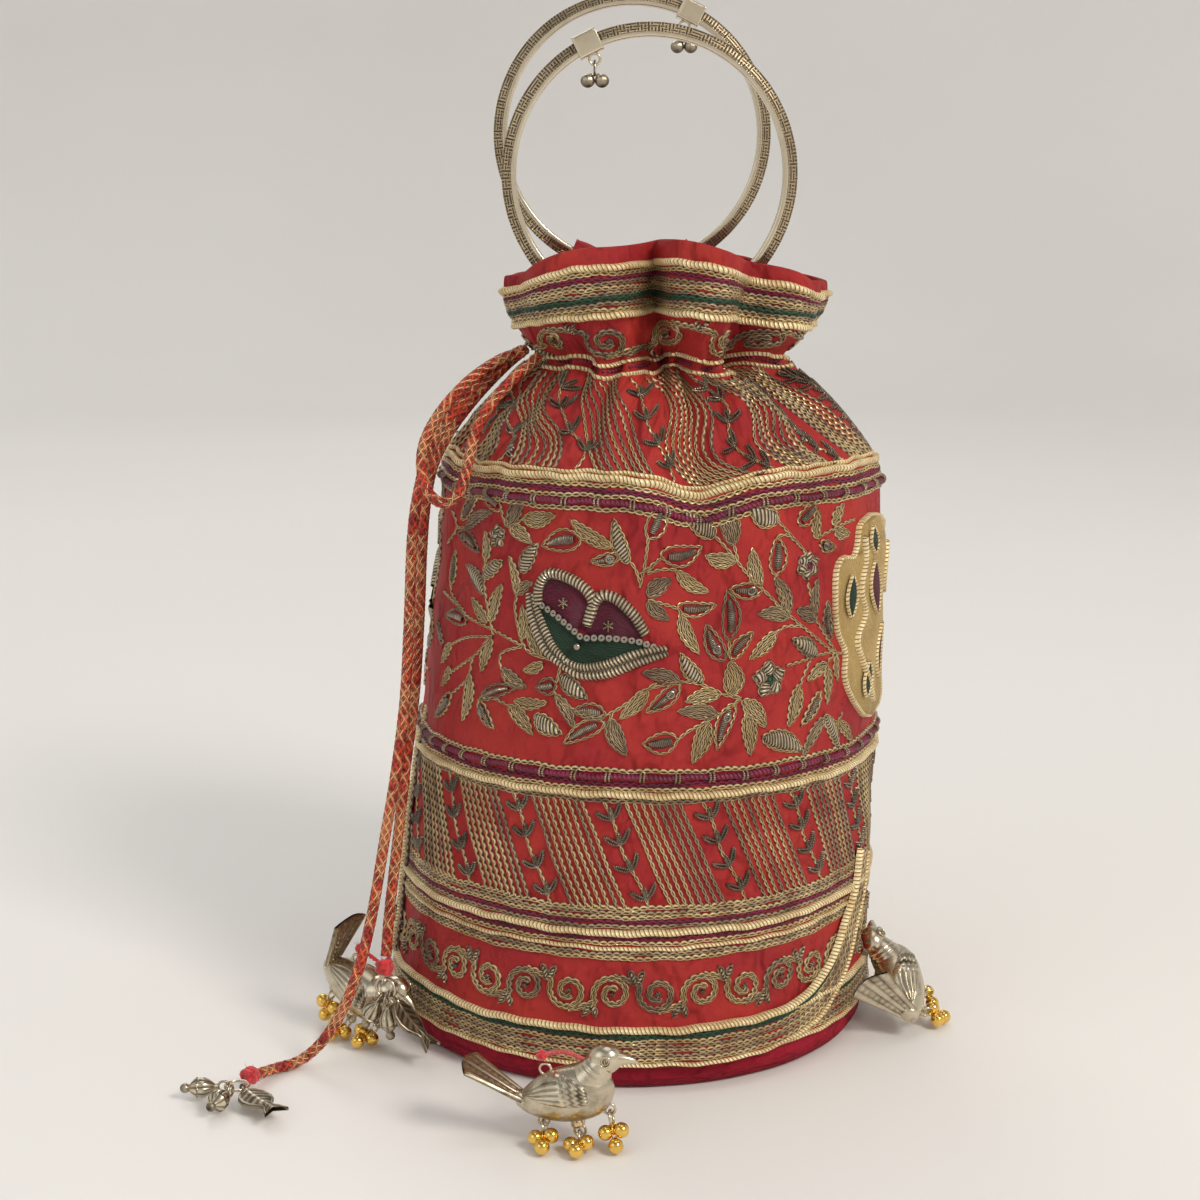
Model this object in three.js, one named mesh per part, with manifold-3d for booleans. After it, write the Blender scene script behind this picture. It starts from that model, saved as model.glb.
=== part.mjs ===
// Potli bag: a gathered silk drawstring pouch with two bangle handles, a tasselled
// drawcord and four pressed silver birds with gold bead drops tied round its foot.
// Millimetres, +Z up, origin at the centre of the foot, front of the bag towards -Y.
import * as THREE from 'three';
import { ParametricGeometry } from 'three/addons/geometries/ParametricGeometry.js';
import { mergeVertices } from 'three/addons/utils/BufferGeometryUtils.js';
import Module from 'manifold-3d';

const wasm = await Module();
wasm.setup();

const DEGREE = Math.PI / 180;
const GAP = 0.3;

// Cloth
const SILK = 1.2;
const LINING_CLOTH = 0.8;
const LINING_EASE = 2;

// Foot tray
const FOOT_RADIUS = 71;
const FOOT_UPSTAND = 20;
const FOOT_CORNER = 3;
const FOOT_CLOTH = 1;

// Bag wall, from the hem up
const HEM_Z = 7.4;
const HEM_LIFT = 2.5;
const BORDER_HEIGHT = 34;
const STRIPE_HEIGHT = 46.6;
const FLORAL_HEIGHT = 77;
const SHOULDER_HEIGHT = 32;
const HEADER_HEIGHT = 33.5;
const BAND_RADIUS = 64.1;
const LEAN = 9.3;

// Gathers at the neck and the flared header above them
const NECK_RADIUS = 28;
const NECK_FOLD = 8;
const RIM_RADIUS = 44.5;
const RIM_FOLD = 4.8;
const VALLEYS = [-88, -7, 37, 80, 124, 168, -140];
const VALLEY_WIDTH = 12 * DEGREE;
const SHOULDER_TWIST = 14 * DEGREE;
const RIM_SAG = 13;
const RIM_TILT = 2.5;

// Creases that the gathers press into the wall
const CREASES = [
  { turn: 8, width: 11, depth: 5 },
  { turn: 97, width: 13, depth: 2.5 },
  { turn: -146, width: 12, depth: 3.5 },
  { turn: -62, width: 10, depth: 1.5 },
];
const CREASE_DROP = 5;

// Couched cords laid on the wall
const COUCH_WIDTH = 2.2;
const COUCH_RISE = 1.7;
const BAND_PITCH = 4.9;

// Drawcord
const CORD_DIAMETER = 3;

// Bangles
const BANGLE_RADIUS = 39;
const BANGLE_RADIAL = 4;
const BANGLE_WIDTH = 4.5;
const BANGLE_FRONT = { x: 4.5, y: -21.5, z: 248.7, sleeve: -26 };
const BANGLE_REAR = { x: 0.3, y: 21, z: 260.4, sleeve: 26 };
const LOOP_REACH = 15;
const LOOP_WIDTH = 7;
const LOOP_CLOTH = 1;
const LOOP_EASE = 0.7;
const TAB_SHARE = 0.7;
const SLEEVE_LENGTH = 7;
const SLEEVE_WALL = 0.7;

// Rings and beads
const WIRE = 0.35;
const EYELET = 1.5;
const JUMP_RING = 1.9;
const BEAD_RADIUS = 2.05;
const BELL_RADIUS = 1.9;
const BUNCH_PAIR = 0.8;
const BUNCH_LOW = 2.6;

// Birds
const BIRD_LENGTH = 27;
const BIRD_WIDTH = 12.5;
const BIRD_DEPTH = 15;
const BIRD_HEAD = 3.9;
const TAIL_LENGTH = 16;
const TAIL_SPREAD = 14;
const TAIL_PLATE = 1.3;
const LEG_RADIUS = 2;
const LEG_LENGTH = 2.2;
const TIE_THREAD = 1.3;
const TIE_KNOT = 1.7;
const TIE_ARCH = 4;
const BIRDS = [
  { name: 'front', turn: -10, reach: 33, height: 14.2, yaw: 0, pitch: -15, roll: 0, tail: 46 },
  { name: 'right', turn: 71.5, reach: 12, height: 13.6, yaw: 30, pitch: -34, roll: -54, tail: 108 },
  { name: 'back', turn: 176, reach: 18, height: 14.6, yaw: 6, pitch: -8, roll: 0, tail: 48 },
  { name: 'left', turn: -67, reach: 14.5, height: 15.6, yaw: 34, pitch: 22, roll: 0, tail: 96 },
];

// Charms on the ends of the drawcord
const CHARM_RING = 3.2;
const CHARM_WIRE = 0.45;
const KNOT_RADIUS = 2.7;
const BUD_LENGTH = 8;
const BUD_RADIUS = 2.7;
const PLAQUE_LENGTH = 17;
const PLAQUE_WIDTH = 9;
const PLAQUE_PLATE = 1;
const CHARMS = [
  { name: 'long', heading: -23.5, tilt: -90, buds: [4, -60], plaque: 62, edge: 0 },
  { name: 'short', heading: -28, tilt: 0, buds: [-31, 5], plaque: 45, edge: 90 },
];

// Routes of the drawcord's free runs, chosen to hang from the neck and lie on the table
const LONG_STRAND = [
  [-31.6, -9, 199.5], [-37.5, -13.5, 196.5], [-44.5, -18, 190.5], [-52, -21.5, 181.5], [-57.5, -23.5, 172],
  [-60.9, -24.5, 160], [-62.8, -25, 146.5], [-64, -25.5, 124], [-65.4, -28, 101], [-67.9, -33.2, 80.5],
  [-70.7, -42.2, 62.5], [-73.4, -48.9, 45.5], [-76.6, -54.6, 31.5], [-81.1, -57.6, 19.5], [-87.3, -57.4, 9],
  [-94.3, -56.6, 2.4], [-100.6, -61.4, 2.1], [-104.6, -67.8, 3.3],
];
const SHORT_STRAND = [
  [-30.8, 2, 199], [-36.5, -1.5, 194.5], [-44.5, -7, 186.5], [-52, -10.5, 177], [-57.2, -12.5, 167],
  [-59.6, -14, 156], [-60.8, -16, 142], [-61.6, -18.5, 124], [-63, -22.5, 102], [-65.6, -30.1, 79.2],
  [-67.6, -38.6, 59], [-69.3, -45.4, 42.5], [-70.2, -48.4, 30.5],
];
const SLACK_LOOP = [
  [-26.5, -22.5, 198.5], [-31.5, -26.5, 194.5], [-38.5, -31, 187.5], [-43, -35, 180.5], [-45.2, -38, 173],
  [-46.6, -40.2, 166.5], [-49.2, -41.2, 161.4], [-53.2, -39.8, 159.8], [-57.2, -36, 162.5], [-59.2, -31.8, 169],
  [-58, -28.5, 176.5], [-53.2, -25.5, 184.5], [-46, -22.5, 192], [-37.5, -19, 197.5], [-31, -17, 199.5],
];

// Heights that follow from the panels
const BORDER_Z = HEM_Z + BORDER_HEIGHT;
const MID_BAND_Z = BORDER_Z + STRIPE_HEIGHT;
const BAND_Z = MID_BAND_Z + FLORAL_HEIGHT;
const NECK_Z = BAND_Z + SHOULDER_HEIGHT;
const RIM_Z = NECK_Z + HEADER_HEIGHT;
const HEM_RADIUS = FOOT_RADIUS + GAP + SILK;

const ROUND_STEPS = 48;

/** Rises smoothly from 0 at low to 1 at high. */
function smoothRise(value, low, high) {
  return THREE.MathUtils.smoothstep(value, low, high);
}

/** Fraction of the shoulder, eased so that the dome is full at the band and steep at the neck. */
function shoulderShare(z) {
  return THREE.MathUtils.clamp((z - BAND_Z) / SHOULDER_HEIGHT, 0, 1) ** 1.5;
}

/** Fraction of the header above the neck. */
function headerShare(z) {
  return THREE.MathUtils.clamp((z - NECK_Z) / HEADER_HEIGHT, 0, 1);
}

/** Mean radius of the outer face of the wall. */
function meanRadius(z) {
  const taper = THREE.MathUtils.clamp((z - HEM_Z) / (BAND_Z - HEM_Z), 0, 1);
  const body = HEM_RADIUS + (BAND_RADIUS - HEM_RADIUS) * taper;
  const gathered = body + (NECK_RADIUS - body) * shoulderShare(z);
  const opening = 1 - (1 - headerShare(z)) ** 2.2;
  return gathered + (RIM_RADIUS - NECK_RADIUS) * opening;
}

/** Depth of the gathers at a height. */
function foldDepth(z) {
  return NECK_FOLD * shoulderShare(z) + (RIM_FOLD - NECK_FOLD) * headerShare(z);
}

/** Shape of the gathers round the bag: broad ridges at 1, narrow valleys at -1. */
function foldWave(turn, z) {
  const twist = SHOULDER_TWIST * (1 - smoothRise(z, NECK_Z - 8, NECK_Z + 5));
  let press = 0;
  for (const valley of VALLEYS) press += dip(turn - twist, valley * DEGREE, VALLEY_WIDTH);
  return 1 - 2 * press;
}

/** Smooth dip of depth 1 centred on a turn. */
function dip(turn, centre, width) {
  const away = Math.abs(turn - centre) % (2 * Math.PI);
  const nearest = Math.min(away, 2 * Math.PI - away) / width;
  return Math.exp(-nearest * nearest);
}

/** How strongly the creases show at a height. */
function creaseShare(z) {
  const top = BAND_Z + SHOULDER_HEIGHT * 0.8;
  return smoothRise(z, MID_BAND_Z + 6, BAND_Z - 4) * (1 - smoothRise(z, BAND_Z + 5, top));
}

/** Inward press of the creases. */
function creaseDepth(turn, z) {
  let depth = 0;
  for (const crease of CREASES) {
    depth += crease.depth * dip(turn, crease.turn * DEGREE, crease.width * DEGREE);
  }
  return depth * creaseShare(z);
}

/** Sideways lean of the bag's axis. */
function leanAt(z) {
  return LEAN * smoothRise(z, HEM_Z, BAND_Z);
}

/** Radius of the outer face of the wall. */
function wallRadius(turn, z) {
  return meanRadius(z) + foldDepth(z) * foldWave(turn, z) - creaseDepth(turn, z);
}

/** Height to which the cloth at a nominal height is carried by sag, creases and lifts. */
function wallHeight(turn, z) {
  const hem = HEM_LIFT * (1 - Math.cos(turn)) * (1 - smoothRise(z, HEM_Z, MID_BAND_Z));
  const drop = creaseDepth(turn, z) / CREASES[0].depth * CREASE_DROP;
  const across = Math.sin(turn + 5 * DEGREE) ** 2;
  const sag = RIM_SAG * across + RIM_TILT * (1 - Math.cos(turn)) * (1 - across);
  return z + hem - drop - sag * headerShare(z);
}

/** Point at a turn from the front (positive to the right), pushed out from the wall's face. */
function wallPoint(turn, z, outset = 0) {
  const radius = wallRadius(turn, z) + outset;
  return new THREE.Vector3(
    leanAt(z) + radius * Math.sin(turn),
    -radius * Math.cos(turn),
    wallHeight(turn, z),
  );
}

/** Welds a geometry into one closed skin with its faces pointing out. */
function closedSkin(source) {
  const bare = source.index ? source.clone() : source;
  bare.deleteAttribute('normal');
  bare.deleteAttribute('uv');
  const welded = mergeVertices(bare, 1e-4);
  const place = welded.attributes.position;
  const old = welded.index.array;
  const kept = [];
  let volume = 0;
  const corner = [new THREE.Vector3(), new THREE.Vector3(), new THREE.Vector3()];
  for (let i = 0; i < old.length; i += 3) {
    const [a, b, c] = [old[i], old[i + 1], old[i + 2]];
    if (a === b || b === c || c === a) continue;
    kept.push(a, b, c);
    corner[0].fromBufferAttribute(place, a);
    corner[1].fromBufferAttribute(place, b);
    corner[2].fromBufferAttribute(place, c);
    volume += corner[0].dot(corner[1].cross(corner[2]));
  }
  if (volume < 0) kept.reverse();
  welded.setIndex(kept);
  return welded;
}

/** Turns a closed skin into a solid that can be cut and joined. */
function asSolid(geometry) {
  const skin = closedSkin(geometry);
  return new wasm.Manifold(new wasm.Mesh({
    numProp: 3,
    vertProperties: new Float32Array(skin.attributes.position.array),
    triVerts: new Uint32Array(skin.index.array),
  }));
}

/** Turns a solid back into a geometry. */
function asGeometry(solid) {
  const mesh = solid.getMesh();
  const geometry = new THREE.BufferGeometry();
  geometry.setAttribute('position', new THREE.BufferAttribute(mesh.vertProperties, 3));
  geometry.setIndex(new THREE.BufferAttribute(mesh.triVerts, 1));
  return geometry;
}

/** Joins overlapping geometries into one solid. */
function fuse(geometries) {
  const joined = geometries.map(asSolid).reduce((whole, piece) => whole.add(piece));
  return asGeometry(joined);
}

/** Surface that carries a closed section once round the bag. */
function sweepRound(section, steps = ROUND_STEPS) {
  const rings = [];
  for (let i = 0; i < steps; i += 1) rings.push(section(i / steps * 2 * Math.PI));
  const count = rings[0].length;
  const place = (u, v, target) => {
    const ring = rings[Math.round(u * steps) % steps];
    target.copy(ring[Math.round(v * count) % count]);
  };
  return closedSkin(new ParametricGeometry(place, steps, count));
}

/** Tube along a smooth open curve. */
function tubeAlong(points, diameter, steps, sides = 8) {
  const outline = new THREE.Shape();
  for (let i = 0; i < sides; i += 1) {
    const angle = (i + 0.5) / sides * 2 * Math.PI;
    const [x, y] = [Math.cos(angle) * diameter / 2, Math.sin(angle) * diameter / 2];
    if (i === 0) outline.moveTo(x, y);
    else outline.lineTo(x, y);
  }
  outline.closePath();
  const path = new THREE.CatmullRomCurve3(points, false, 'centripetal');
  return new THREE.ExtrudeGeometry(outline, { extrudePath: path, steps, curveSegments: 1 });
}

/** Wire ring in the XZ plane with its centre at a point. */
function wireRing(radius, x, y, z, turn = 0) {
  const ring = new THREE.TorusGeometry(radius, WIRE, 4, 8);
  ring.rotateZ(Math.PI / 8);
  ring.rotateX(Math.PI / 2);
  ring.rotateZ(turn);
  ring.translate(x, y, z);
  return ring;
}

const bag = new THREE.Group();
bag.name = 'potli_bag';

const FINISHES = {
  silk: { color: 0xc53a33, roughness: 0.62, metalness: 0 },
  lining: { color: 0x8e1c26, roughness: 0.8, metalness: 0 },
  zari: { color: 0xd9c07a, roughness: 0.45, metalness: 0.4 },
  maroon: { color: 0x6e1230, roughness: 0.7, metalness: 0 },
  braid: { color: 0xb5371f, roughness: 0.65, metalness: 0 },
  silver: { color: 0xb3a991, roughness: 0.38, metalness: 1 },
  gold: { color: 0xd8a63c, roughness: 0.25, metalness: 1 },
  thread: { color: 0xb01c22, roughness: 0.85, metalness: 0 },
};

/** Adds a named piece to a group. */
function addPiece(name, geometry, finish, parent = bag) {
  const mesh = new THREE.Mesh(closedSkin(geometry), new THREE.MeshStandardMaterial(FINISHES[finish]));
  mesh.name = name;
  parent.add(mesh);
  return mesh;
}

/** Nominal heights of the rows of the wall's mesh. */
function wallRows() {
  const rows = [HEM_Z, HEM_Z + BORDER_HEIGHT * 0.5, BORDER_Z, BORDER_Z + STRIPE_HEIGHT * 0.5, MID_BAND_Z];
  for (const share of [0.33, 0.64, 0.85, 1]) rows.push(MID_BAND_Z + FLORAL_HEIGHT * share);
  for (const share of [0.2, 0.4, 0.6, 0.78, 0.91, 1]) rows.push(BAND_Z + SHOULDER_HEIGHT * share);
  for (const share of [0.15, 0.35, 0.65, 1]) rows.push(NECK_Z + HEADER_HEIGHT * share);
  return rows;
}

/** Embroidered silk wall: one tube of cloth from the hem to the flared rim. */
function buildShell() {
  const rows = wallRows();
  return sweepRound((turn) => [
    ...rows.map((z) => wallPoint(turn, z)),
    ...rows.toReversed().map((z) => wallPoint(turn, z, -SILK)),
  ]);
}

/** Foot tray of plain silk: a flat round with a short upstand inside the hem. */
function buildFoot() {
  const outer = new THREE.Path();
  outer.moveTo(0, 0);
  outer.lineTo(FOOT_RADIUS - FOOT_CORNER, 0);
  outer.absarc(FOOT_RADIUS - FOOT_CORNER, FOOT_CORNER, FOOT_CORNER, -Math.PI / 2, 0, false);
  outer.lineTo(FOOT_RADIUS, HEM_Z);
  const inside = FOOT_RADIUS - FOOT_CLOTH;
  const narrow = footTopRadius() - FOOT_RADIUS;
  outer.lineTo(FOOT_RADIUS + narrow, FOOT_UPSTAND);
  outer.lineTo(inside + narrow, FOOT_UPSTAND);
  outer.lineTo(inside, HEM_Z);
  outer.absarc(FOOT_RADIUS - FOOT_CORNER, FOOT_CORNER, FOOT_CORNER - FOOT_CLOTH, 0, -Math.PI / 2, true);
  outer.lineTo(0, FOOT_CLOTH);
  return new THREE.LatheGeometry(outer.getPoints(2), 32).rotateX(Math.PI / 2);
}

/** Radius of the foot tray's upstand where it ends, kept inside the tapering wall. */
function footTopRadius() {
  return meanRadius(FOOT_UPSTAND) - SILK - GAP - leanAt(FOOT_UPSTAND);
}

/** Plain inner bag: closed foot, loose inside the wall, drawn in to the cord's channel. */
function buildLining() {
  const floor = FOOT_CLOTH + GAP;
  const footReach = FOOT_RADIUS - FOOT_CLOTH - LINING_EASE;
  const insideWall = (turn, z) => meanRadius(z) - foldDepth(z) - creaseDepth(turn, z) - SILK - LINING_EASE;
  const channel = DRAWCORD_RING - CORD_DIAMETER / 2 - GAP;
  const heights = [MID_BAND_Z, (MID_BAND_Z + BAND_Z) / 2, BAND_Z - 8, BAND_Z + SHOULDER_HEIGHT * 0.35,
    BAND_Z + SHOULDER_HEIGHT * 0.7];
  const place = (turn, radius, z, lean) => new THREE.Vector3(
    lean + radius * Math.sin(turn),
    -radius * Math.cos(turn),
    z,
  );
  const profile = (turn, inset) => [
    place(turn, 0, floor + inset, 0),
    place(turn, footReach - FOOT_CORNER, floor + inset, 0),
    place(turn, footReach - inset, FOOT_CORNER + 2, 0),
    place(turn, Math.min(footReach, footTopRadius() - FOOT_CLOTH - LINING_EASE) - inset, FOOT_UPSTAND, 0),
    ...heights.map((z) => place(turn, insideWall(turn, z) - inset, wallHeight(turn, z), leanAt(z))),
    place(turn, channel + 2.5 - inset, NECK_Z - 5, LEAN),
    place(turn, channel - inset, NECK_Z - 1, LEAN),
    place(turn, channel - inset, NECK_Z + 3, LEAN),
  ];
  return sweepRound((turn) => [
    ...profile(turn, 0),
    ...profile(turn, LINING_CLOTH).toReversed(),
  ], 32);
}

/** Radius of the drawcord's own ring, inside the deepest valleys of the neck. */
const DRAWCORD_RING = NECK_RADIUS - NECK_FOLD - SILK - GAP - CORD_DIAMETER / 2;

/** Couched cord that follows the wall at a height, seated a gap proud of its face. */
function buildCouchedCord(z, width = COUCH_WIDTH, rise = COUCH_RISE) {
  return sweepRound((turn) => {
    const at = (up, out) => wallPoint(turn, z + up, GAP + out);
    return [
      at(-width / 2, 0),
      at(-width * 0.3, rise),
      at(width * 0.3, rise),
      at(width / 2, 0),
    ];
  });
}

/** Round ring of cord in the neck's channel. */
function buildNeckCord() {
  const ring = new THREE.TorusGeometry(DRAWCORD_RING, CORD_DIAMETER / 2, 6, 24);
  return ring.translate(LEAN, 0, NECK_Z);
}

/** Bangle with a flat inner face and two fretted slopes that meet in a narrow crown. */
function buildBangle() {
  const inner = BANGLE_RADIUS - BANGLE_RADIAL / 2;
  const outer = BANGLE_RADIUS + BANGLE_RADIAL / 2;
  const half = BANGLE_WIDTH / 2;
  const section = [[inner, -half], [inner + 1.6, -half], [outer, -0.5], [outer, 0.5], [inner + 1.6, half], [inner, half]];
  return sweepRound((turn) => section.map(([radius, side]) => new THREE.Vector3(
    radius * Math.sin(turn),
    side,
    radius * Math.cos(turn),
  )), 40);
}

/** Box sleeve that closes a bangle, with the eyelet that carries its bells. */
function buildSleeve() {
  const [high, wide] = [BANGLE_RADIAL / 2 + SLEEVE_EASE, BANGLE_WIDTH / 2 + SLEEVE_EASE];
  const outline = new THREE.Shape();
  const reach = SLEEVE_WALL;
  outline.moveTo(-wide - reach, -high - reach);
  outline.lineTo(wide + reach, -high - reach);
  outline.lineTo(wide + reach, high + reach);
  outline.lineTo(-wide - reach, high + reach);
  outline.closePath();
  const bore = new THREE.Path();
  bore.moveTo(-wide, -high);
  bore.lineTo(-wide, high);
  bore.lineTo(wide, high);
  bore.lineTo(wide, -high);
  bore.closePath();
  outline.holes.push(bore);
  const box = new THREE.ExtrudeGeometry(outline, { depth: SLEEVE_LENGTH, bevelEnabled: false });
  box.translate(0, 0, -SLEEVE_LENGTH / 2);
  box.rotateY(Math.PI / 2);
  box.rotateX(Math.PI / 2);
  box.translate(0, 0, BANGLE_RADIUS);
  return fuse([box, wireRing(EYELET, 0, 0, SLEEVE_EYELET)]);
}

/** Room between a bangle and the inside of its sleeve. */
const SLEEVE_EASE = GAP + 0.15;

/** Radius at which a sleeve's eyelet sits, just inside the bangle. */
const SLEEVE_EYELET = BANGLE_RADIUS - BANGLE_RADIAL / 2 - SLEEVE_EASE - SLEEVE_WALL - EYELET + WIRE / 2;

/** Jump ring with drops hung from it; the origin is the wire that the ring swings on. */
function buildDrops(ballRadius, places) {
  const sink = JUMP_RING - 3 * WIRE;
  const pieces = [wireRing(JUMP_RING, 0, 0, -sink, Math.PI / 2)];
  const wire = new THREE.Vector3(0, 0, -sink - JUMP_RING);
  for (const [x, y, drop] of places) {
    const centre = new THREE.Vector3(x, y, wire.z - drop);
    const ball = new THREE.SphereGeometry(ballRadius, 6, 4);
    ball.translate(centre.x, centre.y, centre.z);
    pieces.push(ball, rodBetween(wire, centre));
  }
  return fuse(pieces);
}

/** Short straight wire between two points. */
function rodBetween(from, to) {
  const along = to.clone().sub(from);
  const rod = new THREE.CylinderGeometry(WIRE, WIRE, along.length(), 3);
  rod.applyQuaternion(new THREE.Quaternion().setFromUnitVectors(new THREE.Vector3(0, 1, 0), along.normalize()));
  const middle = from.clone().add(to).multiplyScalar(0.5);
  return rod.translate(middle.x, middle.y, middle.z);
}

/** Places of three beads that hang like a small bunch from a ring: a pair above, one below. */
function bunchPlaces(ballRadius) {
  return [
    [-ballRadius * 1.04, -0.3, ballRadius * BUNCH_PAIR],
    [ballRadius * 1.04, 0, ballRadius * BUNCH_PAIR],
    [0, -0.2, ballRadius * BUNCH_LOW],
  ];
}

/** Cloth loop that carries a bangle, sewn to the inner face of the header. */
function buildLoop(bangle, side, outward) {
  const seat = LOOP_EASE + Math.hypot(BANGLE_RADIAL, BANGLE_WIDTH) / 2;
  const outer = seat + LOOP_CLOTH;
  const angle = Math.asin(LOOP_REACH / BANGLE_RADIUS) * side;
  const centre = new THREE.Vector3(
    bangle.x + BANGLE_RADIUS * Math.sin(angle),
    bangle.y,
    bangle.z - BANGLE_RADIUS * Math.cos(angle),
  );
  const band = new THREE.Shape();
  band.absarc(0, 0, outer, 0, 2 * Math.PI, false);
  const eye = new THREE.Path();
  eye.absarc(0, 0, seat, 0, 2 * Math.PI, true);
  band.holes.push(eye);
  const strap = new THREE.ExtrudeGeometry(band, { depth: LOOP_WIDTH, bevelEnabled: false, curveSegments: 5 });
  strap.translate(0, 0, -LOOP_WIDTH / 2);
  strap.rotateY(Math.PI / 2);
  strap.rotateY(-angle);
  strap.translate(centre.x, centre.y, centre.z);
  const reach = tabReach(centre, outward);
  const tab = new THREE.BoxGeometry(LOOP_WIDTH * TAB_SHARE, reach - outer + LOOP_CLOTH / 2, LOOP_CLOTH * 1.6);
  tab.translate(0, (reach + outer - LOOP_CLOTH / 2) / 2, 0);
  if (outward < 0) tab.rotateZ(Math.PI);
  tab.translate(centre.x, centre.y, centre.z);
  return fuse([strap, tab]);
}

/** Distance along Y from a point inside the header to just short of the wall's inner face. */
function tabReach(point, outward) {
  const half = LOOP_WIDTH * TAB_SHARE / 2;
  const stride = GAP / 3;
  let reach = 0;
  while (reach < RIM_RADIUS) {
    const y = point.y + outward * (reach + stride);
    for (const x of [point.x - half, point.x, point.x + half]) {
      const turn = Math.atan2(x - LEAN, -y);
      const full = wallHeight(turn, RIM_Z) - NECK_Z;
      const nominal = NECK_Z + (point.z - LOOP_CLOTH - NECK_Z) * HEADER_HEIGHT / full;
      const inner = wallRadius(turn, nominal) - SILK - 3 * GAP;
      if (Math.hypot(x - LEAN, y) > inner) return reach;
    }
    reach += stride;
  }
  return reach;
}

/** Depth of a charm's eyelet centre below the ring wire that it is linked over. */
const CHARM_SINK = EYELET - WIRE - CHARM_WIRE - GAP;

/** Fluted silver bud with its own eyelet above and a ball below. */
function buildBud() {
  const top = -CHARM_SINK - EYELET;
  const outline = [[0, 0], [0.32, -0.06], [0.55, -0.2], [1, -0.55], [0.78, -0.85], [0.3, -1], [0, -1]];
  const profile = outline.map(([r, z]) => new THREE.Vector2(r * BUD_RADIUS, top + z * BUD_LENGTH));
  const bud = new THREE.LatheGeometry(profile.reverse(), 8).rotateX(Math.PI / 2);
  const ball = new THREE.SphereGeometry(BUD_RADIUS * 0.5, 6, 4);
  ball.translate(0, 0, top - BUD_LENGTH - BUD_RADIUS * 0.35);
  return fuse([wireRing(EYELET, 0, 0, -CHARM_SINK, Math.PI / 2), bud, ball]);
}

/** Flat embossed leaf with a notched tail and its own eyelet. */
function buildPlaque(edge) {
  const top = -CHARM_SINK - EYELET + WIRE;
  const half = PLAQUE_WIDTH / 2;
  const neck = PLAQUE_LENGTH * 0.7;
  const outline = new THREE.Shape();
  outline.moveTo(-half * 0.15, 0);
  outline.lineTo(half * 0.15, 0);
  outline.quadraticCurveTo(half * 1.6, -neck * 0.45, half * 0.25, -neck);
  outline.lineTo(half * 0.75, -PLAQUE_LENGTH);
  outline.lineTo(0, -PLAQUE_LENGTH * 0.88);
  outline.lineTo(-half * 0.75, -PLAQUE_LENGTH);
  outline.lineTo(-half * 0.25, -neck);
  outline.quadraticCurveTo(-half * 1.6, -neck * 0.45, -half * 0.15, 0);
  const options = { depth: PLAQUE_PLATE, bevelEnabled: false, curveSegments: 5 };
  const plate = new THREE.ExtrudeGeometry(outline, options);
  plate.translate(0, 0, -PLAQUE_PLATE / 2);
  plate.rotateX(Math.PI / 2);
  plate.rotateZ(edge * DEGREE);
  plate.translate(0, 0, top);
  return fuse([wireRing(EYELET, 0, 0, -CHARM_SINK, Math.PI / 2), plate]);
}

/** Pressed bird: full breast, round head with a beak, flat fan tail, eyelets above and below. */
function buildBird(tailRaise) {
  const half = BIRD_LENGTH / 2;
  const stations = [[-1, 0], [-0.88, 0.3], [-0.5, 0.72], [-0.05, 0.97], [0.4, 1], [0.78, 0.74], [1, 0]];
  const profile = stations.map(([x, r]) => new THREE.Vector2(r, x * half));
  const body = new THREE.LatheGeometry(profile, 10);
  body.rotateZ(-Math.PI / 2);
  body.scale(1, BIRD_WIDTH / 2, BIRD_DEPTH / 2);
  const head = new THREE.SphereGeometry(BIRD_HEAD, 7, 5);
  head.scale(1.12, 0.85, 1);
  head.translate(BIRD_FACE.x, 0, BIRD_FACE.z);
  const neck = new THREE.CylinderGeometry(BIRD_HEAD * 0.72, BIRD_HEAD * 1.3, BIRD_DEPTH * 0.6, 8);
  neck.rotateY(Math.PI / 2);
  neck.rotateX(Math.PI / 2);
  neck.rotateY(50 * DEGREE);
  neck.translate(BIRD_FACE.x * 0.72, 0, BIRD_FACE.z * 0.6);
  const beak = new THREE.ConeGeometry(BIRD_HEAD * 0.42, BIRD_HEAD * 1.5, 6);
  beak.rotateZ(-Math.PI / 2);
  beak.rotateY(18 * DEGREE);
  beak.translate(BIRD_FACE.x + BIRD_HEAD * 1.5, 0, BIRD_FACE.z - BIRD_HEAD * 0.3);
  const leg = new THREE.CylinderGeometry(LEG_RADIUS, LEG_RADIUS, LEG_LENGTH * 2, 6).rotateX(Math.PI / 2);
  const [legX, legZ] = bellyPlaces()[1];
  leg.translate(legX, 0, legZ + LEG_LENGTH);
  const pieces = [body, neck, head, beak, leg, buildTail(half, tailRaise)];
  pieces.push(wireRing(EYELET, BIRD_BACK.x, 0, BIRD_BACK.z));
  for (const [x, z] of bellyPlaces()) pieces.push(wireRing(EYELET, x, 0, z - EYELET_DROP));
  for (const side of [-1, 1]) {
    const wing = new THREE.OctahedronGeometry(1, 1);
    wing.scale(half * 0.72, 1.1, BIRD_DEPTH * 0.27);
    wing.rotateY(-14 * DEGREE);
    wing.translate(-half * 0.08, side * BIRD_WIDTH * 0.45, BIRD_DEPTH * 0.14);
    pieces.push(wing);
  }
  return fuse(pieces);
}

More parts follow.
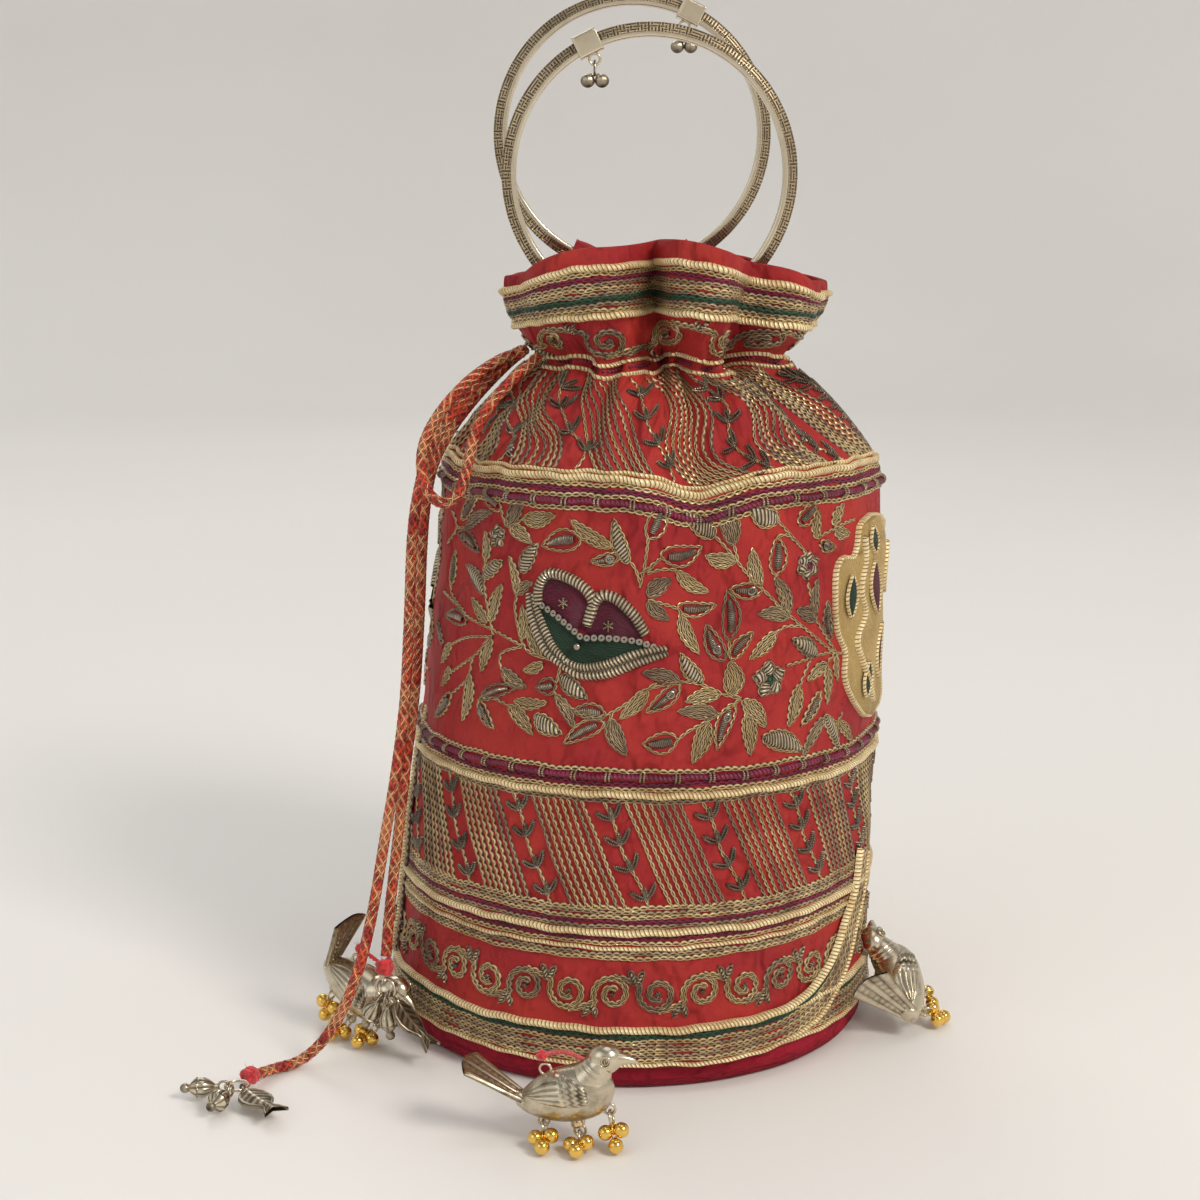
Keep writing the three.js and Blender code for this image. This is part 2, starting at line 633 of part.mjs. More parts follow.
/** Fan tail of a bird: a thin plate that widens and ends in a shallow curve. */
function buildTail(half, raise) {
  const outline = new THREE.Shape();
  const root = TAIL_SPREAD * 0.22;
  outline.moveTo(0, -root);
  outline.lineTo(0, root);
  outline.lineTo(-TAIL_LENGTH, TAIL_SPREAD / 2);
  outline.quadraticCurveTo(-TAIL_LENGTH * 1.25, 0, -TAIL_LENGTH, -TAIL_SPREAD / 2);
  outline.closePath();
  const plate = new THREE.ExtrudeGeometry(outline, { depth: TAIL_PLATE, bevelEnabled: false, curveSegments: 4 });
  plate.translate(0, 0, -TAIL_PLATE / 2);
  plate.rotateY(raise);
  plate.translate(-half * 0.82, 0, BIRD_DEPTH * 0.06);
  return plate;
}

/** Centre of a bird's head. */
const BIRD_FACE = { x: BIRD_LENGTH * 0.48, z: BIRD_DEPTH * 0.5 };

/** Depth of an eyelet's centre below the skin that it is soldered to. */
const EYELET_DROP = EYELET * 0.8;

/** Eyelet on a bird's back that its thread passes through. */
const BIRD_BACK = { x: -BIRD_LENGTH * 0.12, z: BIRD_DEPTH * 0.46 + EYELET * 0.5 };

/** Places on a bird's underside where its three bead bunches hang. */
function bellyPlaces() {
  const half = BIRD_LENGTH / 2;
  return [
    [-half * 0.55, -BIRD_DEPTH * 0.5 * 0.62],
    [half * 0.1, -BIRD_DEPTH * 0.5 * 0.95 - LEG_LENGTH],
    [half * 0.78, -BIRD_DEPTH * 0.5 * 0.66],
  ];
}

/** Red thread from the hem to a bird's back, ending in a small knot at the eyelet. */
function buildTie(knot) {
  const middle = knot.clone().multiplyScalar(0.5).add(new THREE.Vector3(0, 0, TIE_ARCH));
  const start = knot.clone().normalize().multiplyScalar(GAP);
  const thread = tubeAlong([start, middle, knot], TIE_THREAD, 5, 6);
  const tuft = new THREE.IcosahedronGeometry(TIE_KNOT, 0);
  tuft.translate(knot.x, knot.y, knot.z);
  return fuse([thread, tuft]);
}

// Cloth body
addPiece('outer_shell', buildShell(), 'silk');
addPiece('foot_tray', buildFoot(), 'silk');
addPiece('lining', buildLining(), 'lining');
addPiece('upper_gold_cord', buildCouchedCord(BAND_Z + BAND_PITCH / 2), 'zari');
addPiece('upper_maroon_cord', buildCouchedCord(BAND_Z - BAND_PITCH / 2), 'maroon');
addPiece('middle_maroon_cord', buildCouchedCord(MID_BAND_Z + BAND_PITCH / 2), 'maroon');
addPiece('middle_gold_cord', buildCouchedCord(MID_BAND_Z - BAND_PITCH / 2), 'zari');
addPiece('border_gold_cord', buildCouchedCord(BORDER_Z - BAND_PITCH), 'zari');
addPiece('header_gold_cord', buildCouchedCord(NECK_Z + HEADER_HEIGHT * 0.45), 'zari');

// Drawcord
addPiece('drawcord_neck', buildNeckCord(), 'braid');

// Bangles, each held by two cloth loops inside the header
for (const [name, bangle, outward] of [['front', BANGLE_FRONT, -1], ['rear', BANGLE_REAR, 1]]) {
  const hoop = addPiece(`bangle_${name}`, buildBangle(), 'silver');
  hoop.position.set(bangle.x, bangle.y, bangle.z);
  const sleeve = addPiece(`clasp_sleeve_${name}`, buildSleeve(), 'silver');
  sleeve.position.set(bangle.x, bangle.y, bangle.z);
  sleeve.rotation.y = bangle.sleeve * DEGREE;
  for (const [tag, side] of [['left', -1], ['right', 1]]) {
    addPiece(`bangle_loop_${name}_${tag}`, buildLoop(bangle, side, outward), 'silk');
  }
}

// Bells under the front and rear sleeves
for (const [name, bangle] of [['front', BANGLE_FRONT], ['rear', BANGLE_REAR]]) {
  const lean = bangle.sleeve * DEGREE;
  const bells = addPiece(`clasp_bells_${name}`, buildDrops(BELL_RADIUS, [
    [-BELL_RADIUS * 1.04, 0, BELL_RADIUS * BUNCH_PAIR],
    [BELL_RADIUS * 1.04, 0, BELL_RADIUS * BUNCH_PAIR],
  ]), 'silver');
  bells.position.set(
    bangle.x + SLEEVE_EYELET * Math.sin(lean),
    bangle.y,
    bangle.z + SLEEVE_EYELET * Math.cos(lean) - EYELET,
  );
}

// Birds, each tied to the hem by a thread, with three bead bunches under it
for (const bird of BIRDS) {
  const turn = bird.turn * DEGREE;
  const hem = new THREE.Group();
  hem.position.copy(wallPoint(turn, HEM_Z + TIE_THREAD, GAP));
  hem.rotation.z = turn;
  bag.add(hem);
  const perch = new THREE.Group();
  perch.position.set(0, -bird.reach, bird.height - hem.position.z);
  perch.rotation.set(bird.roll * DEGREE, bird.pitch * DEGREE, bird.yaw * DEGREE, 'ZYX');
  hem.add(perch);
  addPiece(`bird_${bird.name}`, buildBird(bird.tail * DEGREE), 'silver', perch);
  perch.updateMatrix();
  const above = BIRD_BACK.z + EYELET + WIRE + GAP + TIE_KNOT;
  const knot = new THREE.Vector3(BIRD_BACK.x, 0, above).applyMatrix4(perch.matrix);
  addPiece(`bird_tie_${bird.name}`, buildTie(knot), 'thread', hem);
  bellyPlaces().forEach(([x, z], index) => {
    const bunch = addPiece(
      `bead_bunch_${bird.name}_${index + 1}`,
      buildDrops(BEAD_RADIUS, bunchPlaces(BEAD_RADIUS)),
      'gold',
      perch,
    );
    const wire = z - EYELET_DROP - EYELET;
    const low = hem.position.z + new THREE.Vector3(x, 0, wire).applyMatrix4(perch.matrix).z;
    const fall = (2 * JUMP_RING - 3 * WIRE + BEAD_RADIUS * BUNCH_LOW) * Math.cos(bird.pitch * DEGREE);
    const rest = Math.acos(THREE.MathUtils.clamp((low - BEAD_RADIUS - 0.4) / fall, 0, 1));
    bunch.position.set(x, 0, wire);
    bunch.rotation.x = -rest - bird.roll * DEGREE;
  });
}

// Free runs of the drawcord, their knots and the charms on them
const strands = { long: LONG_STRAND, short: SHORT_STRAND };
for (const [name, route] of [...Object.entries(strands), ['slack', SLACK_LOOP]]) {
  const points = route.map((point) => new THREE.Vector3(...point));
  addPiece(`drawcord_${name}`, tubeAlong(points, CORD_DIAMETER, name === 'slack' ? 20 : 30), 'braid');
}
for (const charm of CHARMS) {
  const end = new THREE.Vector3(...strands[charm.name].at(-1));
  const before = new THREE.Vector3(...strands[charm.name].at(-2));
  const along = end.clone().sub(before).normalize();
  const knot = addPiece(`end_knot_${charm.name}`, new THREE.IcosahedronGeometry(KNOT_RADIUS, 1), 'thread');
  knot.position.copy(end).addScaledVector(along, KNOT_RADIUS + GAP);
  const hanger = new THREE.Group();
  hanger.position.copy(knot.position);
  hanger.rotation.set(charm.tilt * DEGREE, 0, charm.heading * DEGREE, 'ZYX');
  bag.add(hanger);
  const drop = KNOT_RADIUS + GAP + CHARM_WIRE + CHARM_RING;
  const ring = new THREE.TorusGeometry(CHARM_RING, CHARM_WIRE, 4, 12).rotateX(Math.PI / 2);
  addPiece(`charm_ring_${charm.name}`, ring.translate(0, 0, -drop), 'silver', hanger);
  const hang = (mesh, angle) => {
    const lean = angle * DEGREE;
    mesh.position.set(CHARM_RING * Math.sin(lean), 0, -drop - CHARM_RING * Math.cos(lean));
    mesh.rotation.y = -lean;
  };
  charm.buds.forEach((angle, index) => {
    hang(addPiece(`charm_bud_${charm.name}_${index + 1}`, buildBud(), 'silver', hanger), angle);
  });
  hang(addPiece(`charm_plaque_${charm.name}`, buildPlaque(charm.edge), 'silver', hanger), charm.plaque);
}

export default bag;
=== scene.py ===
"""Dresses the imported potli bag: gathered silk, couched metal-thread embroidery, silver birds and charms."""
import logging
import math
import random
from dataclasses import dataclass, field
from enum import Enum
from typing import Callable, Optional, Sequence

import bpy
import numpy as np
from mathutils import Euler, Matrix, Vector


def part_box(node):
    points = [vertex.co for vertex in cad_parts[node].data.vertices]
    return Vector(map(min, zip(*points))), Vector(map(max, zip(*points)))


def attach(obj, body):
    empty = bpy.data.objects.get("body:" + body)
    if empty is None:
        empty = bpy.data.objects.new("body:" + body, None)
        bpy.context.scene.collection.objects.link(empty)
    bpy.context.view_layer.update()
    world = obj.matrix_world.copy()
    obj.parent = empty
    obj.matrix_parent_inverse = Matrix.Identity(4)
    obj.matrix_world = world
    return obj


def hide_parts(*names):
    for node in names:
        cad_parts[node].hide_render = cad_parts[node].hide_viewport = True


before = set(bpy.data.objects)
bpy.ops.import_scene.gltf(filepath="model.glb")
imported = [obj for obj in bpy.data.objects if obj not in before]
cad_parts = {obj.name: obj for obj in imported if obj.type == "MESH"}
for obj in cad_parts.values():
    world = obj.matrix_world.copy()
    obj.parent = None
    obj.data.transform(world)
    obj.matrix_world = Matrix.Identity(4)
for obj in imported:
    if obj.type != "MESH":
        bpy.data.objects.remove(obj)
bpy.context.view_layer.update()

logging.basicConfig(level=logging.INFO, format="%(message)s")
log = logging.getLogger("potli")

MM = 0.001
DEG = math.pi / 180
TAU = 2 * math.pi
FLAT_RADIUS = 67  # radius, in millimetres, at which turns are laid out flat
NodeSocket = bpy.types.NodeSocket


# Shapes of the bag's wall, in millimetres


def rise(value: np.ndarray, low: float, high: float) -> np.ndarray:
    """Smooth step from 0 at low to 1 at high."""
    x = np.clip((np.asarray(value, float) - low) / (high - low), 0, 1)
    return x * x * (3 - 2 * x)


def dip(turn: np.ndarray, centre: float, width: float) -> np.ndarray:
    """Smooth dip of depth 1 centred on a turn."""
    away = np.abs(turn - centre) % TAU
    near = np.minimum(away, TAU - away) / width
    return np.exp(-near * near)


@dataclass(frozen=True)
class WallShape:
    """Gathered wall of the bag, with the sizes of the solid model."""

    hem: float = 7.4
    border: float = 41.4
    middle: float = 88.0
    band: float = 165.0
    neck: float = 197.0
    rim: float = 230.5
    hem_radius: float = 72.5
    band_radius: float = 64.1
    neck_radius: float = 28.0
    neck_fold: float = 8.0
    rim_radius: float = 44.5
    rim_fold: float = 4.8
    lean: float = 9.3
    cloth: float = 1.2
    valleys: tuple = (-88, -7, 37, 80, 124, 168, -140)
    creases: tuple = ((8, 11, 5.0), (97, 13, 2.5), (-146, 12, 3.5), (-62, 10, 1.5))
    ripple_size: float = 0.42
    header_press: tuple = (8.5, 8.5, 1.0, 8.5, 7.5, 8.0, 1.0)

    def shoulder_share(self, z: np.ndarray) -> np.ndarray:
        """Fraction of the shoulder's gathering at a height."""
        return np.clip((z - self.band) / (self.neck - self.band), 0, 1) ** 1.5

    def header_share(self, z: np.ndarray) -> np.ndarray:
        """Fraction of the header above the neck."""
        return np.clip((z - self.neck) / (self.rim - self.neck), 0, 1)

    def mean_radius(self, z: np.ndarray) -> np.ndarray:
        """Mean radius of the outer face."""
        taper = np.clip((z - self.hem) / (self.band - self.hem), 0, 1)
        body = self.hem_radius + (self.band_radius - self.hem_radius) * taper
        drawn = body + (self.neck_radius - body) * self.shoulder_share(z)
        return drawn + (self.rim_radius - self.neck_radius) * (1 - (1 - self.header_share(z)) ** 2.2)

    def fold_depth(self, z: np.ndarray) -> np.ndarray:
        """Depth of the gathers."""
        return self.neck_fold * self.shoulder_share(z) + (self.rim_fold
                                                          - self.neck_fold) * self.header_share(z)

    def fold_wave(self, turn: np.ndarray, z: np.ndarray) -> np.ndarray:
        """Broad ridges at 1 and narrow valleys at -1."""
        twist = 14 * DEG * (1 - rise(z, self.neck - 8, self.neck + 5))
        press = sum(dip(turn - twist, valley * DEG, 12 * DEG) for valley in self.valleys)
        return 1 - 2 * press

    def crease(self, turn: np.ndarray, z: np.ndarray) -> np.ndarray:
        """Inward press of the creases."""
        top = self.band + (self.neck - self.band) * 0.8
        share = rise(z, self.middle + 6, self.band - 4) * (1 - rise(z, self.band + 5, top))
        return share * sum(deep * dip(turn, at * DEG, wide * DEG) for at, wide, deep in self.creases)

    def ripple(self, turn: np.ndarray, z: np.ndarray) -> np.ndarray:
        """Small unevenness of the cloth, with fine pleats near the neck."""
        soft = np.sin(3 * turn + z * 0.05 + 1) * np.sin(z * 0.08 + 2 * np.cos(2 * turn))
        fine = np.sin(11 * turn + z * 0.11) * np.sin(z * 0.19 + 3 * np.sin(2 * turn) + 0.6)
        gather = np.exp(-(((z - self.neck) / 10) ** 2)) + 0.55 * np.exp(-(((z - self.neck + 14) / 16) ** 2))
        pleat = np.sin(29 * turn + 2.5 * np.sin(3 * turn) + 0.03 * z) * gather * 1.6
        ruffle = np.sin(17 * turn + 1.3 + 1.4 * np.sin(5 * turn)) * self.header_share(z) * 1.5
        return self.ripple_size * (soft + 0.7 * fine) + pleat + ruffle * 0.6

    def radius(self, turn: np.ndarray, z: np.ndarray) -> np.ndarray:
        """Radius of the outer face."""
        folds = self.fold_depth(z) * self.fold_wave(turn, z)
        sunk = rise(z, self.neck + 4, self.neck + 16) * sum(
            press * dip(turn, valley * DEG, 6.5 * DEG) for press,
            valley in zip(self.header_press, self.valleys))
        return self.mean_radius(z) + folds - self.crease(turn, z) + self.ripple(turn, z) - sunk

    def lean_at(self, z: np.ndarray) -> np.ndarray:
        """Sideways lean of the axis."""
        return self.lean * rise(z, self.hem, self.band)

    def height(self, turn: np.ndarray, z: np.ndarray) -> np.ndarray:
        """Height to which the cloth is carried by sag, creases and lifts."""
        hem = 2.5 * (1 - np.cos(turn)) * (1 - rise(z, self.hem, self.middle))
        across = np.sin(turn + 5 * DEG) ** 2
        sag = 13 * across + 2.5 * (1 - np.cos(turn)) * (1 - across)
        wave = 0.7 * np.sin(9 * turn + 0.8) * rise(z, self.rim - 14, self.rim)
        drawn = (1.1 * np.sin(7 * turn + 1) + 0.7 * np.sin(16 * turn)) * np.exp(-(((z - self.neck) / 8) ** 2))
        return z + hem - self.crease(turn,
                                     z) - sag * self.header_share(z) + wave + drawn * self.ripple_size / 0.42

    def point(self, turn: np.ndarray, z: np.ndarray, out: np.ndarray = 0.0) -> np.ndarray:
        """Points on the wall pushed out radially.

        Args:
            turn: Angles from the front, positive to the right, in radians.
            z: Nominal heights.
            out: Distance outside the face.

        Returns:
            Array of points with a last axis of 3.
        """
        turn, z = np.broadcast_arrays(np.asarray(turn, float), np.asarray(z, float))
        radius = self.radius(turn, z) + out
        return np.stack(
            [self.lean_at(z) + radius * np.sin(turn), -radius * np.cos(turn), self.height(turn, z)], -1)

    def normal(self, turn: np.ndarray, z: np.ndarray) -> np.ndarray:
        """Outward unit normals of the wall."""
        step = 0.004
        along = self.point(turn + step, z) - self.point(turn - step, z)
        up = self.point(turn, np.asarray(z) + 0.3) - self.point(turn, np.asarray(z) - 0.3)
        out = np.cross(along, up)
        return out / np.maximum(np.linalg.norm(out, axis=-1, keepdims=True), 1e-9)


WALL = WallShape()


# Mesh making


def unit(values: np.ndarray) -> np.ndarray:
    """Vectors scaled to length 1."""
    return values / np.maximum(np.linalg.norm(values, axis=-1, keepdims=True), 1e-9)


def smooth_path(points: Sequence, step: float, closed: bool = False) -> np.ndarray:
    """Even samples of a smooth curve through points.

    Args:
        points: Control points.
        step: Distance between samples.
        closed: Whether the curve returns to its start.

    Returns:
        Samples along the curve.
    """
    given = np.asarray(points, float)
    if closed:
        padded = np.vstack([given[-1], given, given[0], given[1]])
    else:
        padded = np.vstack([2 * given[0] - given[1], given, 2 * given[-1] - given[-2]])
    parts = []
    for a, b, c, d in zip(padded, padded[1:], padded[2:], padded[3:]):
        t = np.linspace(0, 1, 24, endpoint=False)[:, None]
        parts.append(0.5 * (2 * b + (c - a) * t + (2 * a - 5 * b + 4 * c - d) * t * t
                            + (3 * b - a - 3 * c + d) * t ** 3))
    dense = np.vstack(parts + [padded[-2][None]])
    gaps = np.linalg.norm(np.diff(dense, axis=0), axis=1)
    run = np.concatenate([[0], np.cumsum(gaps)])
    count = max(int(round(run[-1] / step)), 3)
    at = np.linspace(0, run[-1], count + 1)
    return np.stack([np.interp(at, run, dense[:, k]) for k in range(dense.shape[1])], -1)


def run_length(path: np.ndarray) -> np.ndarray:
    """Distance from the start to each point of a path."""
    return np.concatenate([[0], np.cumsum(np.linalg.norm(np.diff(path, axis=0), axis=1))])


class MeshDraft:
    """Collects grids of points, in millimetres, into one mesh with a UV at each corner."""

    def __init__(self) -> None:
        """Start empty, with no placement."""
        self.points: list = []
        self.corners: list = []
        self.uvs: list = []
        self.slots: list = []
        self.count = 0
        self.place = Matrix.Identity(4)

    def grid(self, points: np.ndarray, uv: Optional[np.ndarray] = None, wrap: tuple = (False, False),
             slot: int = 0, flip: bool = False) -> None:
        """Add a grid of quads.

        Args:
            points: Array of n by m points.
            uv: UVs of the corners, one longer on a wrapped side, or none.
            wrap: Whether the first and the second side close on themselves.
            slot: Material slot.
            flip: Whether to turn the faces over.
        """
        points = np.asarray(points, float)
        n, m = points.shape[:2]
        rows, cols = n - (not wrap[0]), m - (not wrap[1])
        i, j = np.meshgrid(np.arange(rows), np.arange(cols), indexing="ij")
        i2, j2 = (i + 1) % n, (j + 1) % m
        quads = np.stack([i * m + j, i2 * m + j, i2 * m + j2, i * m + j2], -1).reshape(-1, 4)
        if uv is None:
            uv = np.stack(np.meshgrid(np.arange(rows + 1), np.arange(cols + 1), indexing="ij"), -1) * 1.0
        corner = np.stack([uv[i, j], uv[i + 1, j], uv[i + 1, j + 1], uv[i, j + 1]], 2).reshape(-1, 4, 2)
        if flip:
            quads, corner = quads[:, ::-1], corner[:, ::-1]
        turn = np.array(self.place)
        flat = points.reshape(-1, 3) @ turn[:3, :3].T + turn[:3, 3]
        self.points.append(flat)
        self.corners.append(quads + self.count)
        self.uvs.append(corner)
        self.slots.append(np.full(len(quads), slot))
        self.count += len(flat)

    def tube(self, path: np.ndarray, radius: np.ndarray, sides: int = 8, slot: int = 0,
             relief: Optional[Callable] = None, closed: bool = False, twist: float = 0.0) -> None:
        """Add a tube along a path.

        Args:
            path: Points of the centreline.
            radius: Radius, one number or one for each point.
            sides: Faces round the tube.
            slot: Material slot.
            relief: Function of distance and angle that gives a height to add to the radius.
            closed: Whether the tube closes on itself.
            twist: Turn of the section along the tube, in radians for each millimetre.
        """
        path = np.asarray(path, float)
        ahead = np.roll(path, -1, 0) - np.roll(path, 1, 0)
        if not closed:
            ahead[0], ahead[-1] = path[1] - path[0], path[-1] - path[-2]
        ahead = unit(ahead)
        side = np.cross(ahead[0], [0, 0, 1.0] if abs(ahead[0][2]) < 0.9 else [1.0, 0, 0])
        sides_out = []
        for direction in ahead:
            side = side - direction * side.dot(direction)
            side = side / np.linalg.norm(side)
            sides_out.append(side)
        first = np.array(sides_out)
        second = np.cross(ahead, first)
        run = run_length(path)
        angle = np.linspace(0, TAU, sides, endpoint=False)
        size = np.broadcast_to(np.asarray(radius, float), (len(path),))[:, None] * np.ones((1, sides))
        if relief is not None:
            size = size + relief(run[:, None], angle[None, :])
        turned = angle[None, :] + twist * run[:, None]
        ring = (path[:, None] + first[:, None] * (np.cos(turned) * size)[..., None]
                + second[:, None] * (np.sin(turned) * size)[..., None])
        count = len(path) + (1 if closed else 0)
        lengths = np.append(run, run[-1] + np.linalg.norm(path[0] - path[-1])) if closed else run
        uv = np.stack(np.broadcast_arrays(lengths[:count, None], np.linspace(0, 1, sides + 1)[None, :]), -1)
        self.grid(ring, uv, (closed, True), slot, flip=True)
        if not closed:
            for end, centre in ((0, path[0]), (-1, path[-1])):
                cap = np.stack([ring[end], np.repeat(centre[None], sides, 0)])
                self.grid(cap, None, (False, True), slot, flip=end == -1)

    def ring(self, centre: Sequence, radius: float, wire: float, axis: str = "Y", steps: int = 20,
             sides: int = 8, slot: int = 0, stretch: float = 1.0) -> None:
        """Add a wire ring round an axis through its centre.

        Args:
            centre: Middle of the ring.
            radius: Radius of the wire's centreline.
            wire: Radius of the wire.
            axis: Name of the axis it goes round.
            steps: Sections round the ring.
            sides: Faces round the wire.
            slot: Material slot.
            stretch: Length along Z over length across, for an oval link.
        """
        angle = np.linspace(0, TAU, steps, endpoint=False)
        zero = np.zeros_like(angle)
        loops = {
            "X": np.stack([zero, np.cos(angle), np.sin(angle) * stretch], -1),
            "Y": np.stack([np.cos(angle), zero, np.sin(angle) * stretch], -1),
            "Z": np.stack([np.cos(angle), np.sin(angle), zero], -1),
        }
        self.tube(np.asarray(centre, float) + radius * loops[axis], wire, sides, slot, closed=True)

    def lathe(self, profile: Sequence, steps: int, slot: int = 0, shape: Optional[Callable] = None,
              scale: tuple = (1, 1, 1), centre: Sequence = (0, 0, 0),
              relief: Optional[Callable] = None) -> None:
        """Add a turned form round Z.

        Args:
            profile: Pairs of radius and height from one pole to the other.
            steps: Sections round the axis.
            slot: Material slot.
            shape: Function of angle and height share that multiplies the radius.
            scale: Stretch along X, Y and Z.
            centre: Where the form's origin goes.
            relief: Function of angle and share that gives the second UV.
        """
        profile = np.asarray(profile, float)
        angle = np.linspace(0, TAU, steps, endpoint=False)
        share = np.linspace(0, 1, len(profile))
        swell = np.ones((steps, len(profile))) if shape is None else shape(angle[:, None], share[None, :])
        radius = profile[None, :, 0] * swell
        points = np.stack([radius * np.cos(angle)[:, None], radius * np.sin(angle)[:, None],
                           np.broadcast_to(profile[:, 1], radius.shape)], -1)
        full = np.append(angle, TAU)[:, None]
        high = share[None, :] if relief is None else relief(full, share[None, :])
        uv = np.stack(np.broadcast_arrays(full * np.ones((1, len(share))), high), -1)
        self.grid(points * np.asarray(scale) + np.asarray(centre), uv, (True, False), slot)

    def ball(self, centre: Sequence, radius: float, steps: int = 16, rings: int = 10, slot: int = 0,
             scale: tuple = (1, 1, 1), shape: Optional[Callable] = None) -> None:
        """Add a sphere or a stretched one."""
        polar = np.linspace(0, math.pi, rings + 1)
        profile = np.stack([np.sin(polar) * radius, -np.cos(polar) * radius], -1)
        profile[[0, -1], 0] = radius * 0.002
        # The ball's second UV rises from 0 at its lower pole to 1 at its upper pole, so silver patina that reads it
        # darkens the ball towards the bottom.
        self.lathe(profile, steps, slot, shape, scale, centre)

    def make(self, name: str, materials: Sequence, body: str, replaces: Sequence = (), slot: str = "",
             smooth: bool = True) -> bpy.types.Object:
        """Turn the draft into an object that rides on a body.

        Args:
            name: Name of the piece.
            materials: Materials in the order of the slots.
            body: Body that the piece moves with.
            replaces: Names of the solids it stands for.
            slot: Not used.
            smooth: Whether the faces are shaded smooth.

        Returns:
            The new object.
        """
        points = np.concatenate(self.points) * MM
        quads = np.concatenate(self.corners)
        mesh = bpy.data.meshes.new(name)
        mesh.vertices.add(len(points))
        mesh.vertices.foreach_set("co", points.astype(np.float32).ravel())
        mesh.loops.add(quads.size)
        mesh.loops.foreach_set("vertex_index", quads.astype(np.int32).ravel())
        mesh.polygons.add(len(quads))
        mesh.polygons.foreach_set("loop_start", np.arange(0, quads.size, 4, dtype=np.int32))
        mesh.polygons.foreach_set("material_index", np.concatenate(self.slots).astype(np.int32))
        mesh.polygons.foreach_set("use_smooth", np.full(len(quads), smooth))
        layer = mesh.uv_layers.new(name="UVMap")
        layer.data.foreach_set("uv", np.concatenate(self.uvs).astype(np.float32).ravel())
        mesh.update(calc_edges=True)
        mesh.validate()
        for material in materials:
            mesh.materials.append(material)
        piece = bpy.data.objects.new(name, mesh)
        bpy.context.scene.collection.objects.link(piece)
        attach(piece, body)
        if replaces:
            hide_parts(*replaces)
        log.info("%s: %d faces on %s", name, len(quads), body)
        return piece


def lay_on_wall(draft: MeshDraft, path: np.ndarray, width: np.ndarray, height: float, slot: int,
                columns: int = 1, lift: float = 0.0, closed: bool = False, stretch: float = 1.0) -> None:
    """Lay a raised row of stitches on the wall.

    Args:
        draft: Mesh that takes the row.
        path: Pairs of turn and nominal height.
        width: Width of one row, in millimetres, one number or one for each point.
        height: Height of its crown.
        slot: Material slot.
        columns: Rows side by side.
        lift: Distance of its edges above the cloth, one number or one for each point.
        closed: Whether the row meets its own start.
        stretch: Scale of the first UV against the distance along the row.
    """
    path = np.asarray(path, float)
    width = np.broadcast_to(np.asarray(width, float), (len(path),))
    lift = np.broadcast_to(np.asarray(lift, float), (len(path),))
    centre = WALL.point(path[:, 0], path[:, 1])
    normal = WALL.normal(path[:, 0], path[:, 1])
    ahead = np.gradient(centre, axis=0)
    if closed:
        ahead[0] = ahead[-1] = centre[1] - centre[-2]
    side = unit(np.cross(normal, unit(ahead)))
    section = np.array([-1, -0.62, 0, 0.62])
    crown = np.array([0.0, 0.8, 1.0, 0.8])
    across = np.concatenate([section + 2 * k for k in range(columns)] + [[2 * columns - 1]]) - (columns - 1)
    raised = np.concatenate([crown] * columns + [[0.0]])
    raised[4::4] = 0.25 if columns > 1 else raised[4::4]
    raised[-1] = 0
    points = (centre[:, None] + side[:, None] * (across[None, :] * width[:, None] / 2)[..., None]
              + normal[:, None] * ((raised * height - 0.12 * (raised == 0))[None, :]
                                   + lift[:, None])[..., None])
    run = run_length(centre) * stretch
    uv = np.stack(np.broadcast_arrays(run[:, None], (across + columns - 1)[None, :]), -1)
    draft.grid(points, uv, slot=slot, flip=True)


def ring_row(z: float, step: float = 1.3) -> np.ndarray:
    """Path once round the wall at a nominal height."""
    count = int(TAU * float(WALL.mean_radius(z)) / step)
    turn = np.linspace(-math.pi, math.pi, count)
    return np.stack([turn, np.full(count, z)], -1)


def chart(turn: float, z: float, points: np.ndarray) -> np.ndarray:
    """Map flat millimetres round a place on the wall to turns and heights."""
    points = np.asarray(points, float)
    radius = np.maximum(WALL.mean_radius(z + points[:, 1]), 20.0)
    return np.stack([turn + points[:, 0] / radius, z + points[:, 1]], -1)


# Node helpers and shared effects


class Effect(Enum):
    """Shared effects that the finishes draw on."""

    CHAIN = "Chain stitch"
    COIL = "Coiled wire"
    TWIST = "Cord twist"
    CLOTH = "Woven cloth"
    PATINA = "Metal patina"
    FRET = "Fret relief"


